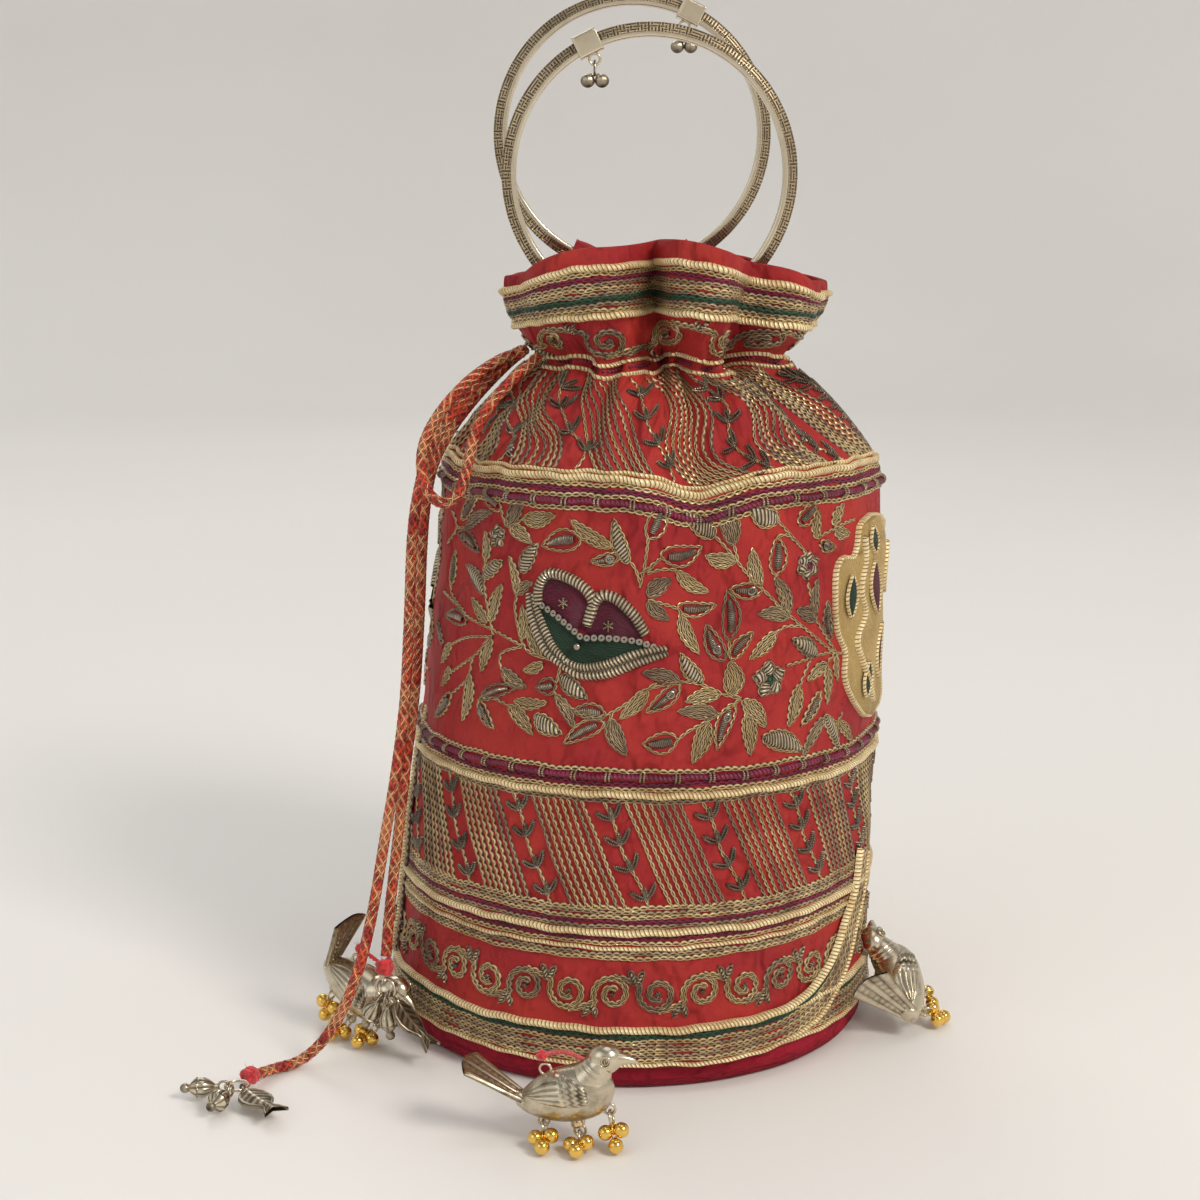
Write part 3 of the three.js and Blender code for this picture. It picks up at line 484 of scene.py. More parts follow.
@dataclass
class NodeBench:
    """Short ways to place and join nodes in one tree."""

    tree: bpy.types.NodeTree

    def node(self, kind: str, **values: object) -> bpy.types.Node:
        """Add a node and set its properties."""
        made = self.tree.nodes.new(kind)
        for key, value in values.items():
            setattr(made, key, value)
        return made

    def join(self, source: object, target: NodeSocket) -> None:
        """Link a socket, or set a plain value."""
        if isinstance(source, bpy.types.NodeSocket):
            self.tree.links.new(source, target)
        else:
            target.default_value = source

    def math(self, operation: str, *values: object, clamp: bool = False) -> NodeSocket:
        """Add a math node."""
        made = self.node("ShaderNodeMath", operation=operation, use_clamp=clamp)
        for value, target in zip(values, made.inputs):
            self.join(value, target)
        return made.outputs[0]

    def ramp(self, value: object, low: float, high: float, start: float = 0.0,
             end: float = 1.0) -> NodeSocket:
        """Smooth map of a value from one range to another."""
        made = self.node("ShaderNodeMapRange", interpolation_type="SMOOTHSTEP")
        for source, target in zip((value, low, high, start, end), made.inputs):
            self.join(source, target)
        return made.outputs[0]

    def mix(self, share: object, first: object, second: object, blend: str = "MIX") -> NodeSocket:
        """Mix two colours."""
        made = self.node("ShaderNodeMix", data_type="RGBA", blend_type=blend)
        self.join(share, made.inputs["Factor"])
        self.join(first, made.inputs[6])
        self.join(second, made.inputs[7])
        return made.outputs[2]

    def noise(self, place: object, scale: float, detail: float = 3.0, rough: float = 0.5) -> NodeSocket:
        """Add a noise texture and give its factor."""
        made = self.node("ShaderNodeTexNoise")
        made.inputs["Scale"].default_value = scale
        made.inputs["Detail"].default_value = detail
        made.inputs["Roughness"].default_value = rough
        if place is not None:
            self.join(place, made.inputs["Vector"])
        return made.outputs["Fac"]

    def place(self, kind: str = "Object") -> NodeSocket:
        """Texture coordinates by name."""
        return self.node("ShaderNodeTexCoord").outputs[kind]

    def split(self, vector: NodeSocket) -> tuple:
        """Components of a vector."""
        made = self.node("ShaderNodeSeparateXYZ")
        self.join(vector, made.inputs[0])
        return made.outputs[0], made.outputs[1], made.outputs[2]

    def vector(self, *parts: object) -> NodeSocket:
        """Vector from components."""
        made = self.node("ShaderNodeCombineXYZ")
        for part, target in zip(parts, made.inputs):
            self.join(part, target)
        return made.outputs[0]

    def group(self, effect: Effect, **values: object) -> bpy.types.Node:
        """Place a shared effect with its own values."""
        made = self.node("ShaderNodeGroup", node_tree=SharedEffects.get(effect))
        for key, value in values.items():
            self.join(value, made.inputs[key.replace("_", " ")])
        return made

    def bump(self, height: NodeSocket, distance: float, strength: float = 1.0,
             normal: Optional[NodeSocket] = None) -> NodeSocket:
        """Normal from a height, its distance in millimetres."""
        made = self.node("ShaderNodeBump")
        made.inputs["Strength"].default_value = strength
        made.inputs["Distance"].default_value = distance * MM
        self.join(height, made.inputs["Height"])
        if normal is not None:
            self.join(normal, made.inputs["Normal"])
        return made.outputs[0]


class SharedEffects:
    """Node groups that more than one finish uses, each built once."""

    built: dict = {}

    @classmethod
    def get(cls, effect: Effect) -> bpy.types.NodeTree:
        """The node group of an effect."""
        if effect not in cls.built:
            maker = {
                Effect.CHAIN: cls.chain, Effect.COIL: cls.coil, Effect.TWIST: cls.twist,
                Effect.CLOTH: cls.cloth, Effect.PATINA: cls.patina, Effect.FRET: cls.fret,
            }[effect]
            cls.built[effect] = maker(effect.value)
        return cls.built[effect]

    @staticmethod
    def start(name: str, inputs: dict, outputs: dict) -> tuple:
        """Make an empty group.

        Args:
            name: Name of the group.
            inputs: Socket names with their default values.
            outputs: Socket names with their kinds.

        Returns:
            The tree, its bench, its input node and its output node.
        """
        tree = bpy.data.node_groups.new(name, "ShaderNodeTree")
        for key, value in inputs.items():
            made = tree.interface.new_socket(key, in_out="INPUT", socket_type="NodeSocketFloat")
            made.default_value = value
        for key, kind in outputs.items():
            tree.interface.new_socket(key, in_out="OUTPUT", socket_type=f"NodeSocket{kind}")
        bench = NodeBench(tree)
        return tree, bench, bench.node("NodeGroupInput"), bench.node("NodeGroupOutput")

    @classmethod
    def chain(cls, name: str) -> bpy.types.NodeTree:
        """Looped stitches along the first UV, one column for each two units of the second."""
        tree, b, given, out = cls.start(name, {"Link": 2.2},
                                        {"Thread": "Float", "Height": "Float", "Tone": "Float"})
        along, across, _ = b.split(b.place("UV"))
        column = b.math("FLOOR", b.math("MULTIPLY", b.math("ADD", across, 1.0), 0.5))
        local = b.math("SUBTRACT", across, b.math("MULTIPLY", column, 2.0))
        shifted = b.math("ADD", b.math("DIVIDE", along, given.outputs[0]), b.math("MULTIPLY", column, 0.37))
        share = b.math("FRACT", shifted)
        wide = b.math("MULTIPLY", b.math("POWER", b.math("SINE", b.math("MULTIPLY", share, math.pi)), 0.6),
                      0.56)
        away = b.math("ABSOLUTE", b.math("SUBTRACT", b.math("ABSOLUTE", local), wide))
        thread = b.ramp(away, 0.14, 0.46, 1.0, 0.0)
        round_off = b.ramp(away, 0.0, 0.5, 1.0, 0.0)
        b.join(thread, out.inputs["Thread"])
        b.join(round_off, out.inputs["Height"])
        cell = b.vector(b.math("FLOOR", shifted), column, 0.0)
        speck = b.node("ShaderNodeTexWhiteNoise", noise_dimensions="3D")
        b.join(cell, speck.inputs["Vector"])
        b.join(speck.outputs["Value"], out.inputs["Tone"])
        return tree

    @classmethod
    def coil(cls, name: str) -> bpy.types.NodeTree:
        """Tight turns of wire across the first UV."""
        tree, b, given, out = cls.start(name, {"Pitch": 0.6}, {"Thread": "Float", "Height": "Float"})
        along, across, _ = b.split(b.place("UV"))
        leaned = b.math("ADD", along, b.math("MULTIPLY", across, 0.16))
        wave = b.math("SINE", b.math("MULTIPLY", b.math("DIVIDE", leaned, given.outputs[0]), TAU))
        high = b.math("MULTIPLY_ADD", wave, 0.5, 0.5)
        b.join(b.ramp(high, 0.1, 0.6), out.inputs["Thread"])
        b.join(high, out.inputs["Height"])
        return tree

    @classmethod
    def twist(cls, name: str) -> bpy.types.NodeTree:
        """Strands that wind round a cord whose second UV goes from 0 to 1 round it."""
        tree, b, given, out = cls.start(
            name, {"Pitch": 3.0, "Strands": 3.0}, {"Thread": "Float", "Height": "Float"})
        along, across, _ = b.split(b.place("UV"))
        winding = b.math("ADD", b.math("DIVIDE", along, given.outputs[0]),
                         b.math("MULTIPLY", across, given.outputs[1]))
        wave = b.math("ABSOLUTE", b.math("SINE", b.math("MULTIPLY", winding, math.pi)))
        b.join(b.ramp(wave, 0.1, 0.55), out.inputs["Thread"])
        b.join(b.math("POWER", wave, 0.6), out.inputs["Height"])
        return tree

    @classmethod
    def cloth(cls, name: str) -> bpy.types.NodeTree:
        """Fine plain weave with slubs, on UVs in millimetres; its tone is partly painted fold shade and partly the
        cloth's own mottling.
        """
        tree, b, given, out = cls.start(name, {"Pitch": 0.5}, {"Height": "Float", "Tone": "Float"})
        place = b.place("UV")
        along, up, _ = b.split(place)
        step = b.math("DIVIDE", TAU, given.outputs[0])
        warp = b.math("SINE", b.math("MULTIPLY", along, step))
        weft = b.math("SINE", b.math("MULTIPLY", up, step))
        check = b.math("MULTIPLY", warp, weft)
        slub = b.noise(b.vector(b.math("MULTIPLY", along, 0.25), b.math("MULTIPLY", up, 1.6), 0.0), 1.0, 4.0,
                       0.6)
        fuzz = b.noise(place, 2.6, 5.0, 0.7)
        high = b.math("ADD", b.math("MULTIPLY", check, 0.22),
                      b.math("MULTIPLY", b.math("ADD", slub, fuzz), 0.7))
        b.join(high, out.inputs["Height"])
        # Painted shade: this broad noise stands for the shade of soft folds in the cloth; the fine fuzz mixed in is
        # the cloth's own mottling.
        fold_shade_noise = b.noise(place, 0.035, 3.0, 0.55)
        b.join(b.ramp(b.math("ADD", b.math("MULTIPLY", fold_shade_noise, 0.7), b.math("MULTIPLY", fuzz, 0.3)), 0.3, 0.7),
               out.inputs["Tone"])
        return tree

    @classmethod
    def patina(cls, name: str) -> bpy.types.NodeTree:
        """Dark deposit that stays in low places, for metal whose second UV is its relief."""
        tree, b, given, out = cls.start(name, {"Amount": 0.5, "Relief": 1.0},
                                        {"Dark": "Float", "Height": "Float"})
        place = b.place("Object")
        cloud = b.noise(place, 220.0, 5.0, 0.6)
        scratch = b.noise(place, 1500.0, 2.0, 0.7)
        low = b.math("SUBTRACT", 1.0, given.outputs[1])
        stain = b.math("MULTIPLY", b.ramp(cloud, 0.45, 0.7), 0.4)
        mask = b.math("MULTIPLY", b.math("ADD", stain, b.math("MULTIPLY", low, 1.1)), given.outputs[0],
                      clamp=True)
        b.join(mask, out.inputs["Dark"])
        b.join(b.math("ADD", b.math("MULTIPLY", cloud, 0.6), b.math("MULTIPLY", scratch, 0.25)),
               out.inputs["Height"])
        return tree

    @classmethod
    def fret(cls, name: str) -> bpy.types.NodeTree:
        """Maze of raised lines in square cells, on UVs in millimetres."""
        tree, b, given, out = cls.start(name, {"Cell": 1.3}, {"Height": "Float"})
        along, across, _ = b.split(b.place("UV"))
        u = b.math("DIVIDE", along, given.outputs[0])
        v = b.math("DIVIDE", across, given.outputs[0])
        pick = b.node("ShaderNodeTexWhiteNoise", noise_dimensions="2D")
        b.join(b.vector(b.math("FLOOR", u), b.math("FLOOR", v), 0.0), pick.inputs["Vector"])
        way = b.math("GREATER_THAN", pick.outputs["Value"], 0.5)
        du = b.math("ABSOLUTE", b.math("SUBTRACT", b.math("FRACT", u), 0.5))
        dv = b.math("ABSOLUTE", b.math("SUBTRACT", b.math("FRACT", v), 0.5))
        gap = b.math("ADD", b.math("MULTIPLY", du, way), b.math("MULTIPLY", dv, b.math("SUBTRACT", 1.0, way)))
        b.join(b.ramp(gap, 0.14, 0.3), out.inputs["Height"])
        return tree


def new_material(name: str) -> tuple:
    """Make a material and give it with its bench and shader."""
    material = bpy.data.materials.new(name)
    material.use_nodes = True
    bench = NodeBench(material.node_tree)
    shader = material.node_tree.nodes["Principled BSDF"]
    return material, bench, shader


@dataclass(frozen=True)
class SilkFinish:
    """Dull silk with a soft nap, its colour mixed from a lit red and a deep red, the deep red being painted shade
    of soft folds.
    """

    name: str
    lit: tuple
    deep: tuple
    roughness: float = 0.72
    sheen: float = 0.35
    pitch: float = 0.5
    grain: float = 0.2
    wrinkle: float = 1.7

    def make(self) -> bpy.types.Material:
        """Build the material."""
        material, b, shader = new_material(self.name)
        cloth = b.group(Effect.CLOTH, Pitch=self.pitch)
        # Painted shade: the deep red, laid in by the cloth tone, stands for the shade of soft folds; the lit red is
        # the silk's own colour.
        b.join(b.mix(cloth.outputs["Tone"], (*self.deep, 1), (*self.lit, 1)), shader.inputs["Base Color"])
        shader.inputs["Roughness"].default_value = self.roughness
        shader.inputs["Sheen Weight"].default_value = self.sheen
        shader.inputs["Sheen Roughness"].default_value = 0.4
        shader.inputs["Sheen Tint"].default_value = (*self.lit, 1)
        shader.inputs["Specular IOR Level"].default_value = 0.25
        along, up, _ = b.split(b.place("UV"))
        bent = b.vector(b.math("MULTIPLY", along, 0.075), b.math("MULTIPLY", up, 0.05), 0.0)
        wrinkle = b.math("ABSOLUTE", b.math("SUBTRACT", b.noise(bent, 1.0, 3.0, 0.45), 0.5))
        folds = b.bump(b.ramp(wrinkle, 0.0, 0.16), self.wrinkle)
        b.join(b.bump(cloth.outputs["Height"], self.grain, normal=folds), shader.inputs["Normal"])
        return material


@dataclass(frozen=True)
class StitchFinish:
    """Thread laid in stitches, bright on its crowns, with painted shade in the gaps between them."""

    name: str
    effect: Effect
    bright: tuple
    dull: tuple
    # colour of the painted shade in the gaps between loops and turns
    gap: tuple
    metallic: float = 0.75
    roughness: float = 0.38
    size: float = 2.2
    depth: float = 0.5
    strands: float = 2.0

    def make(self) -> bpy.types.Material:
        """Build the material."""
        material, b, shader = new_material(self.name)
        if self.effect is Effect.CHAIN:
            stitch = b.group(Effect.CHAIN, Link=self.size)
            tone = stitch.outputs["Tone"]
        else:
            values = {"Strands": self.strands} if self.effect is Effect.TWIST else {}
            stitch = b.group(self.effect, Pitch=self.size, **values)
            tone = b.ramp(b.noise(b.place("Object"), 420.0, 3.0), 0.35, 0.65)
        worn = b.ramp(b.noise(b.place("Object"), 90.0, 3.0), 0.35, 0.65)
        shade = b.math("MULTIPLY", b.math("ADD", tone, worn), 0.5)
        thread = b.mix(shade, (*self.dull, 1), (*self.bright, 1))
        # Painted shade: the gap colour is a dark stand-in for the shade between the loops and turns of thread.
        b.join(b.mix(stitch.outputs["Thread"], (*self.gap, 1), thread), shader.inputs["Base Color"])
        if self.metallic > 0:
            b.join(b.math("MULTIPLY", stitch.outputs["Thread"], self.metallic), shader.inputs["Metallic"])
        b.join(b.ramp(shade, 0.0, 1.0, self.roughness + 0.12, self.roughness), shader.inputs["Roughness"])
        b.join(b.bump(stitch.outputs["Height"], self.depth), shader.inputs["Normal"])
        return material


@dataclass(frozen=True)
class MetalFinish:
    """Pressed metal with a patina in its hollows."""

    name: str
    bright: tuple
    dark: tuple
    roughness: float = 0.3
    patina: float = 0.5
    depth: float = 0.05
    use_relief: bool = True
    fret: float = 0.0

    def make(self) -> bpy.types.Material:
        """Build the material."""
        material, b, shader = new_material(self.name)
        relief: object = 1.0
        height: object = None
        if self.fret > 0:
            fret = b.group(Effect.FRET, Cell=self.fret)
            relief = fret.outputs["Height"]
            height = b.bump(relief, 0.28)
        elif self.use_relief:
            relief = b.split(b.place("UV"))[1]
        patina = b.group(Effect.PATINA, Amount=self.patina, Relief=relief)
        b.join(b.mix(patina.outputs["Dark"], (*self.bright, 1), (*self.dark, 1)), shader.inputs["Base Color"])
        shader.inputs["Metallic"].default_value = 1.0
        b.join(b.ramp(patina.outputs["Dark"], 0.0, 1.0, self.roughness, self.roughness + 0.3),
               shader.inputs["Roughness"])
        b.join(b.bump(patina.outputs["Height"], self.depth, normal=height), shader.inputs["Normal"])
        return material


@dataclass
class Palette:
    """Every finish of the bag, made once."""

    made: dict = field(default_factory=dict)

    recipes = {
        "silk": SilkFinish("red_silk", (0.47, 0.036, 0.026), (0.30, 0.012, 0.020), 0.6, 0.08),
        "foot": SilkFinish("foot_silk", (0.38, 0.010, 0.030), (0.27, 0.006, 0.022), 0.8, 0.12, 0.7, 0.22),
        "lining": SilkFinish("lining_satin", (0.36, 0.03, 0.04), (0.22, 0.012, 0.02), 0.5, 0.1, 0.4, 0.08),
        "zari": StitchFinish("zari_chain", Effect.CHAIN, (1.0, 0.80, 0.42), (0.56, 0.38, 0.17),
                             (0.06, 0.014, 0.010), 0.5, 0.32),
        "old_zari": StitchFinish("old_zari_chain", Effect.CHAIN, (0.72, 0.55, 0.32), (0.26, 0.17, 0.11),
                                 (0.045, 0.014, 0.012), 0.5),
        "maroon": StitchFinish("maroon_chain", Effect.CHAIN, (0.34, 0.010, 0.075), (0.16, 0.005, 0.034),
                               (0.02, 0.001, 0.004), 0.0, 0.5, 2.4),
        "green": StitchFinish("green_chain", Effect.CHAIN, (0.020, 0.10, 0.045), (0.010, 0.045, 0.022),
                              (0.003, 0.008, 0.004), 0.0, 0.5, 2.4),
        "coil": StitchFinish("coiled_wire", Effect.COIL, (0.60, 0.50, 0.38), (0.20, 0.15, 0.11),
                             (0.03, 0.018, 0.014), 0.8, 0.26, 0.5, 0.3),
        "bullion": StitchFinish("bullion_ribs", Effect.COIL, (0.80, 0.68, 0.48), (0.38, 0.30, 0.19),
                                (0.03, 0.014, 0.008), 0.65, 0.3, 0.62, 0.45),
        "tissue": StitchFinish("gold_tissue", Effect.CHAIN, (1.0, 0.80, 0.36), (0.76, 0.52, 0.18),
                               (0.42, 0.24, 0.07), 0.35, 0.4, 1.0, 0.3),
        "gold_cord": StitchFinish("pale_gold_cord", Effect.TWIST, (1.0, 0.84, 0.50), (0.66, 0.48, 0.23),
                                  (0.20, 0.11, 0.05), 0.35, 0.42, 1.15, 0.3, 0.45),
        "maroon_cord": StitchFinish("maroon_cord", Effect.TWIST, (0.26, 0.010, 0.06), (0.10, 0.004, 0.022),
                                    (0.02, 0.001, 0.006), 0.0, 0.42, 1.2, 0.25, 0.45),
        "tie": StitchFinish("couching_tie", Effect.COIL, (0.62, 0.52, 0.36), (0.3, 0.22, 0.12),
                            (0.08, 0.05, 0.03), 0.85, 0.3, 0.5, 0.12),
        "silver": MetalFinish("antique_silver", (0.70, 0.62, 0.47), (0.085, 0.065, 0.042), 0.25, 0.9),
        "fret": MetalFinish("fretted_silver", (0.52, 0.42, 0.28), (0.11, 0.08, 0.05), 0.34, 0.85, 0.04, False,
                            0.95),
        "plain_silver": MetalFinish("worn_silver", (0.66, 0.58, 0.44), (0.22, 0.17, 0.11), 0.24, 0.35, 0.03,
                                    False),
        "gold": MetalFinish("polished_gold", (0.88, 0.58, 0.14), (0.38, 0.20, 0.04), 0.15, 0.3, 0.02, False),
        "sequin": MetalFinish("sequin_metal", (0.34, 0.31, 0.26), (0.14, 0.12, 0.09), 0.25, 0.3, 0.02, False),
    }

    def get(self, name: str) -> bpy.types.Material:
        """The material of a finish, made at first use."""
        if name not in self.made:
            recipe = self.recipes.get(name)
            self.made[name] = recipe.make() if recipe else {"braid": self.braid,
                                                            "thread": self.thread}[name]()
        return self.made[name]

    def all(self, *names: str) -> list:
        """Materials by name, in order."""
        return [self.get(name) for name in names]

    @staticmethod
    def braid() -> bpy.types.Material:
        """Red braid with gold plied into some of its strands."""
        material, b, shader = new_material("drawcord_braid")
        along, around, _ = b.split(b.place("UV"))
        turns = b.math("MULTIPLY", around, 4.0)
        first = b.math("MULTIPLY_ADD", along, 0.3342, turns)
        second = b.math("MULTIPLY_ADD", along, -0.3342, turns)
        crowns = [b.math("COSINE", b.math("MULTIPLY", phase, TAU)) for phase in (first, second)]
        over = b.math("GREATER_THAN", crowns[0], crowns[1])
        phase = b.mix(over, b.vector(second, second, second), b.vector(first, first, first))
        number = b.math("FLOOR", b.math("ADD", b.split(phase)[0], 0.5))
        speck = b.node("ShaderNodeTexWhiteNoise", noise_dimensions="2D")
        b.join(b.vector(number, over, 0.0), speck.inputs["Vector"])
        ply = b.math("SINE", b.math("MULTIPLY_ADD", b.split(phase)[0], 22.0, b.math("MULTIPLY", along, 3.4)))
        gold = b.math("MULTIPLY", b.math("GREATER_THAN", speck.outputs["Value"], 0.42),
                      b.ramp(ply, 0.0, 0.45))
        red = b.mix(b.ramp(b.noise(b.place("Object"), 350.0), 0.35, 0.65), (0.34, 0.012, 0.010, 1),
                    (0.74, 0.085, 0.026, 1))
        shade = b.ramp(b.math("MAXIMUM", crowns[0], crowns[1]), 0.3, 0.8, 0.45, 1.0)
        thread = b.mix(gold, red, (0.92, 0.66, 0.32, 1))
        b.join(b.mix(1.0, thread, b.vector(shade, shade, shade), "MULTIPLY"), shader.inputs["Base Color"])
        b.join(b.math("MULTIPLY", gold, 0.5), shader.inputs["Metallic"])
        shader.inputs["Roughness"].default_value = 0.5
        high = b.math("ADD", b.math("MAXIMUM", crowns[0], crowns[1]), b.math("MULTIPLY", ply, 0.25))
        b.join(b.bump(high, 0.22), shader.inputs["Normal"])
        return material

    @staticmethod
    def thread() -> bpy.types.Material:
        """Fuzzy red sewing thread."""
        material, b, shader = new_material("red_thread")
        tone = b.ramp(b.noise(b.place("Object"), 700.0, 4.0), 0.35, 0.65)
        b.join(b.mix(tone, (0.40, 0.005, 0.012, 1), (0.72, 0.03, 0.03, 1)), shader.inputs["Base Color"])
        shader.inputs["Roughness"].default_value = 0.7
        shader.inputs["Sheen Weight"].default_value = 0.5
        b.join(b.bump(b.noise(b.place("Object"), 2500.0), 0.08), shader.inputs["Normal"])
        return material


# Pieces


@dataclass
class Studio:
    """Pale floor, soft lamps and the camera."""

    eye: tuple = (-9.22, -605.0, 246.75)
    pitch_down: float = 11.447
    lens: float = 61.92

    def build(self) -> None:
        """Build the floor, the world, the lamps and the camera."""
        self.floor()
        self.world()
        self.lamp("key", (1.15, -1.2, 1.45), 0.6, 23.0, (1.0, 0.93, 0.84))
        self.lamp("fill", (-1.4, -1.1, 1.1), 1.2, 3.2, (0.92, 0.96, 1.0))
        self.lamp("rim", (-0.5, 1.35, 1.5), 0.9, 6.0, (1.0, 0.97, 0.93))
        self.lamp("top", (0.1, -0.1, 2.1), 1.2, 4.5, (1.0, 0.98, 0.95))
        self.camera()

    def floor(self) -> None:
        """Build the pale floor, which sweeps up into a backdrop all round."""
        rise_at, sweep, top = 1700.0, 900.0, 900.0
        sides = 72
        bend = np.linspace(0, math.pi / 2, 10)
        profile = [(1.0, 0.0), (300.0, 0.0), (900.0, 0.0)]
        profile += [(rise_at + sweep * math.sin(a), sweep * (1 - math.cos(a))) for a in bend]
        profile += [(rise_at + sweep, sweep + top)]
        angle = np.linspace(0, TAU, sides + 1)
        points = [(r * math.cos(a) * MM, r * math.sin(a) * MM, z * MM - 0.00005) for a in angle[:-1] for r,
                  z in profile]
        width = len(profile)
        faces = [(i * width + k, (i + 1) % sides * width + k, (i + 1) % sides * width + k + 1,
                  i * width + k + 1)
                 for i in range(sides) for k in range(width - 1)]
        faces.append(tuple(i * width for i in range(sides)))
        mesh = bpy.data.meshes.new("floor")
        mesh.from_pydata(points, [], faces)
        mesh.polygons.foreach_set("use_smooth", [True] * len(mesh.polygons))
        material, b, shader = new_material("pale_floor")
        tone = b.ramp(b.noise(b.place("Object"), 1.4), 0.3, 0.7)
        b.join(b.mix(tone, (0.81, 0.80, 0.78, 1), (0.84, 0.83, 0.815, 1)), shader.inputs["Base Color"])
        shader.inputs["Roughness"].default_value = 0.6
        mesh.materials.append(material)
        bowl = bpy.data.objects.new("floor", mesh)
        bpy.context.scene.collection.objects.link(bowl)

    def world(self) -> None:
        """Pale surroundings, seen by the camera and by metal."""
        world = bpy.data.worlds.new("studio")
        bpy.context.scene.world = world
        world.use_nodes = True
        b = NodeBench(world.node_tree)
        back = world.node_tree.nodes["Background"]
        path = b.node("ShaderNodeLightPath")
        seen = b.math("MAXIMUM", path.outputs["Is Camera Ray"], path.outputs["Is Transmission Ray"])
        up = b.split(b.place("Generated"))[2]
        glow = b.ramp(up, 0.1, 0.9, 1.0, 0.25)
        strength = b.mix(path.outputs["Is Glossy Ray"], (0.50, 0.50, 0.50, 1), b.vector(glow, glow, glow))
        level = b.mix(seen, strength, (0.86, 0.86, 0.86, 1))
        b.join(b.mix(1.0, level, (1.0, 0.985, 0.965, 1), "MULTIPLY"), back.inputs["Color"])
        bpy.context.scene.view_settings.view_transform = "Standard"

    @staticmethod
    def lamp(name: str, place: tuple, size: float, power: float, colour: tuple) -> None:
        """Add a soft square lamp aimed at the bag.

        Args:
            name: Name of the lamp.
            place: Where it stands, in metres.
            size: Side of the lamp, in metres.
            power: Power in watts.
            colour: Colour of its light.
        """
        light = bpy.data.lights.new(name, "AREA")
        light.energy, light.size, light.color = power, size, colour
        lamp = bpy.data.objects.new(name, light)
        lamp.location = place
        aim = Vector((0, 0, 0.13)) - Vector(place)
        lamp.rotation_euler = aim.to_track_quat("-Z", "Y").to_euler()
        bpy.context.scene.collection.objects.link(lamp)

    def camera(self) -> None:
        """Build the camera."""
        data = bpy.data.cameras.new("camera")
        data.lens, data.sensor_width, data.sensor_fit = self.lens, 36.0, "HORIZONTAL"
        camera = bpy.data.objects.new("camera", data)
        camera.location = Vector(self.eye) * MM
        camera.rotation_euler = Euler((math.radians(90 - self.pitch_down), 0, 0))
        bpy.context.scene.collection.objects.link(camera)
        bpy.context.scene.camera = camera


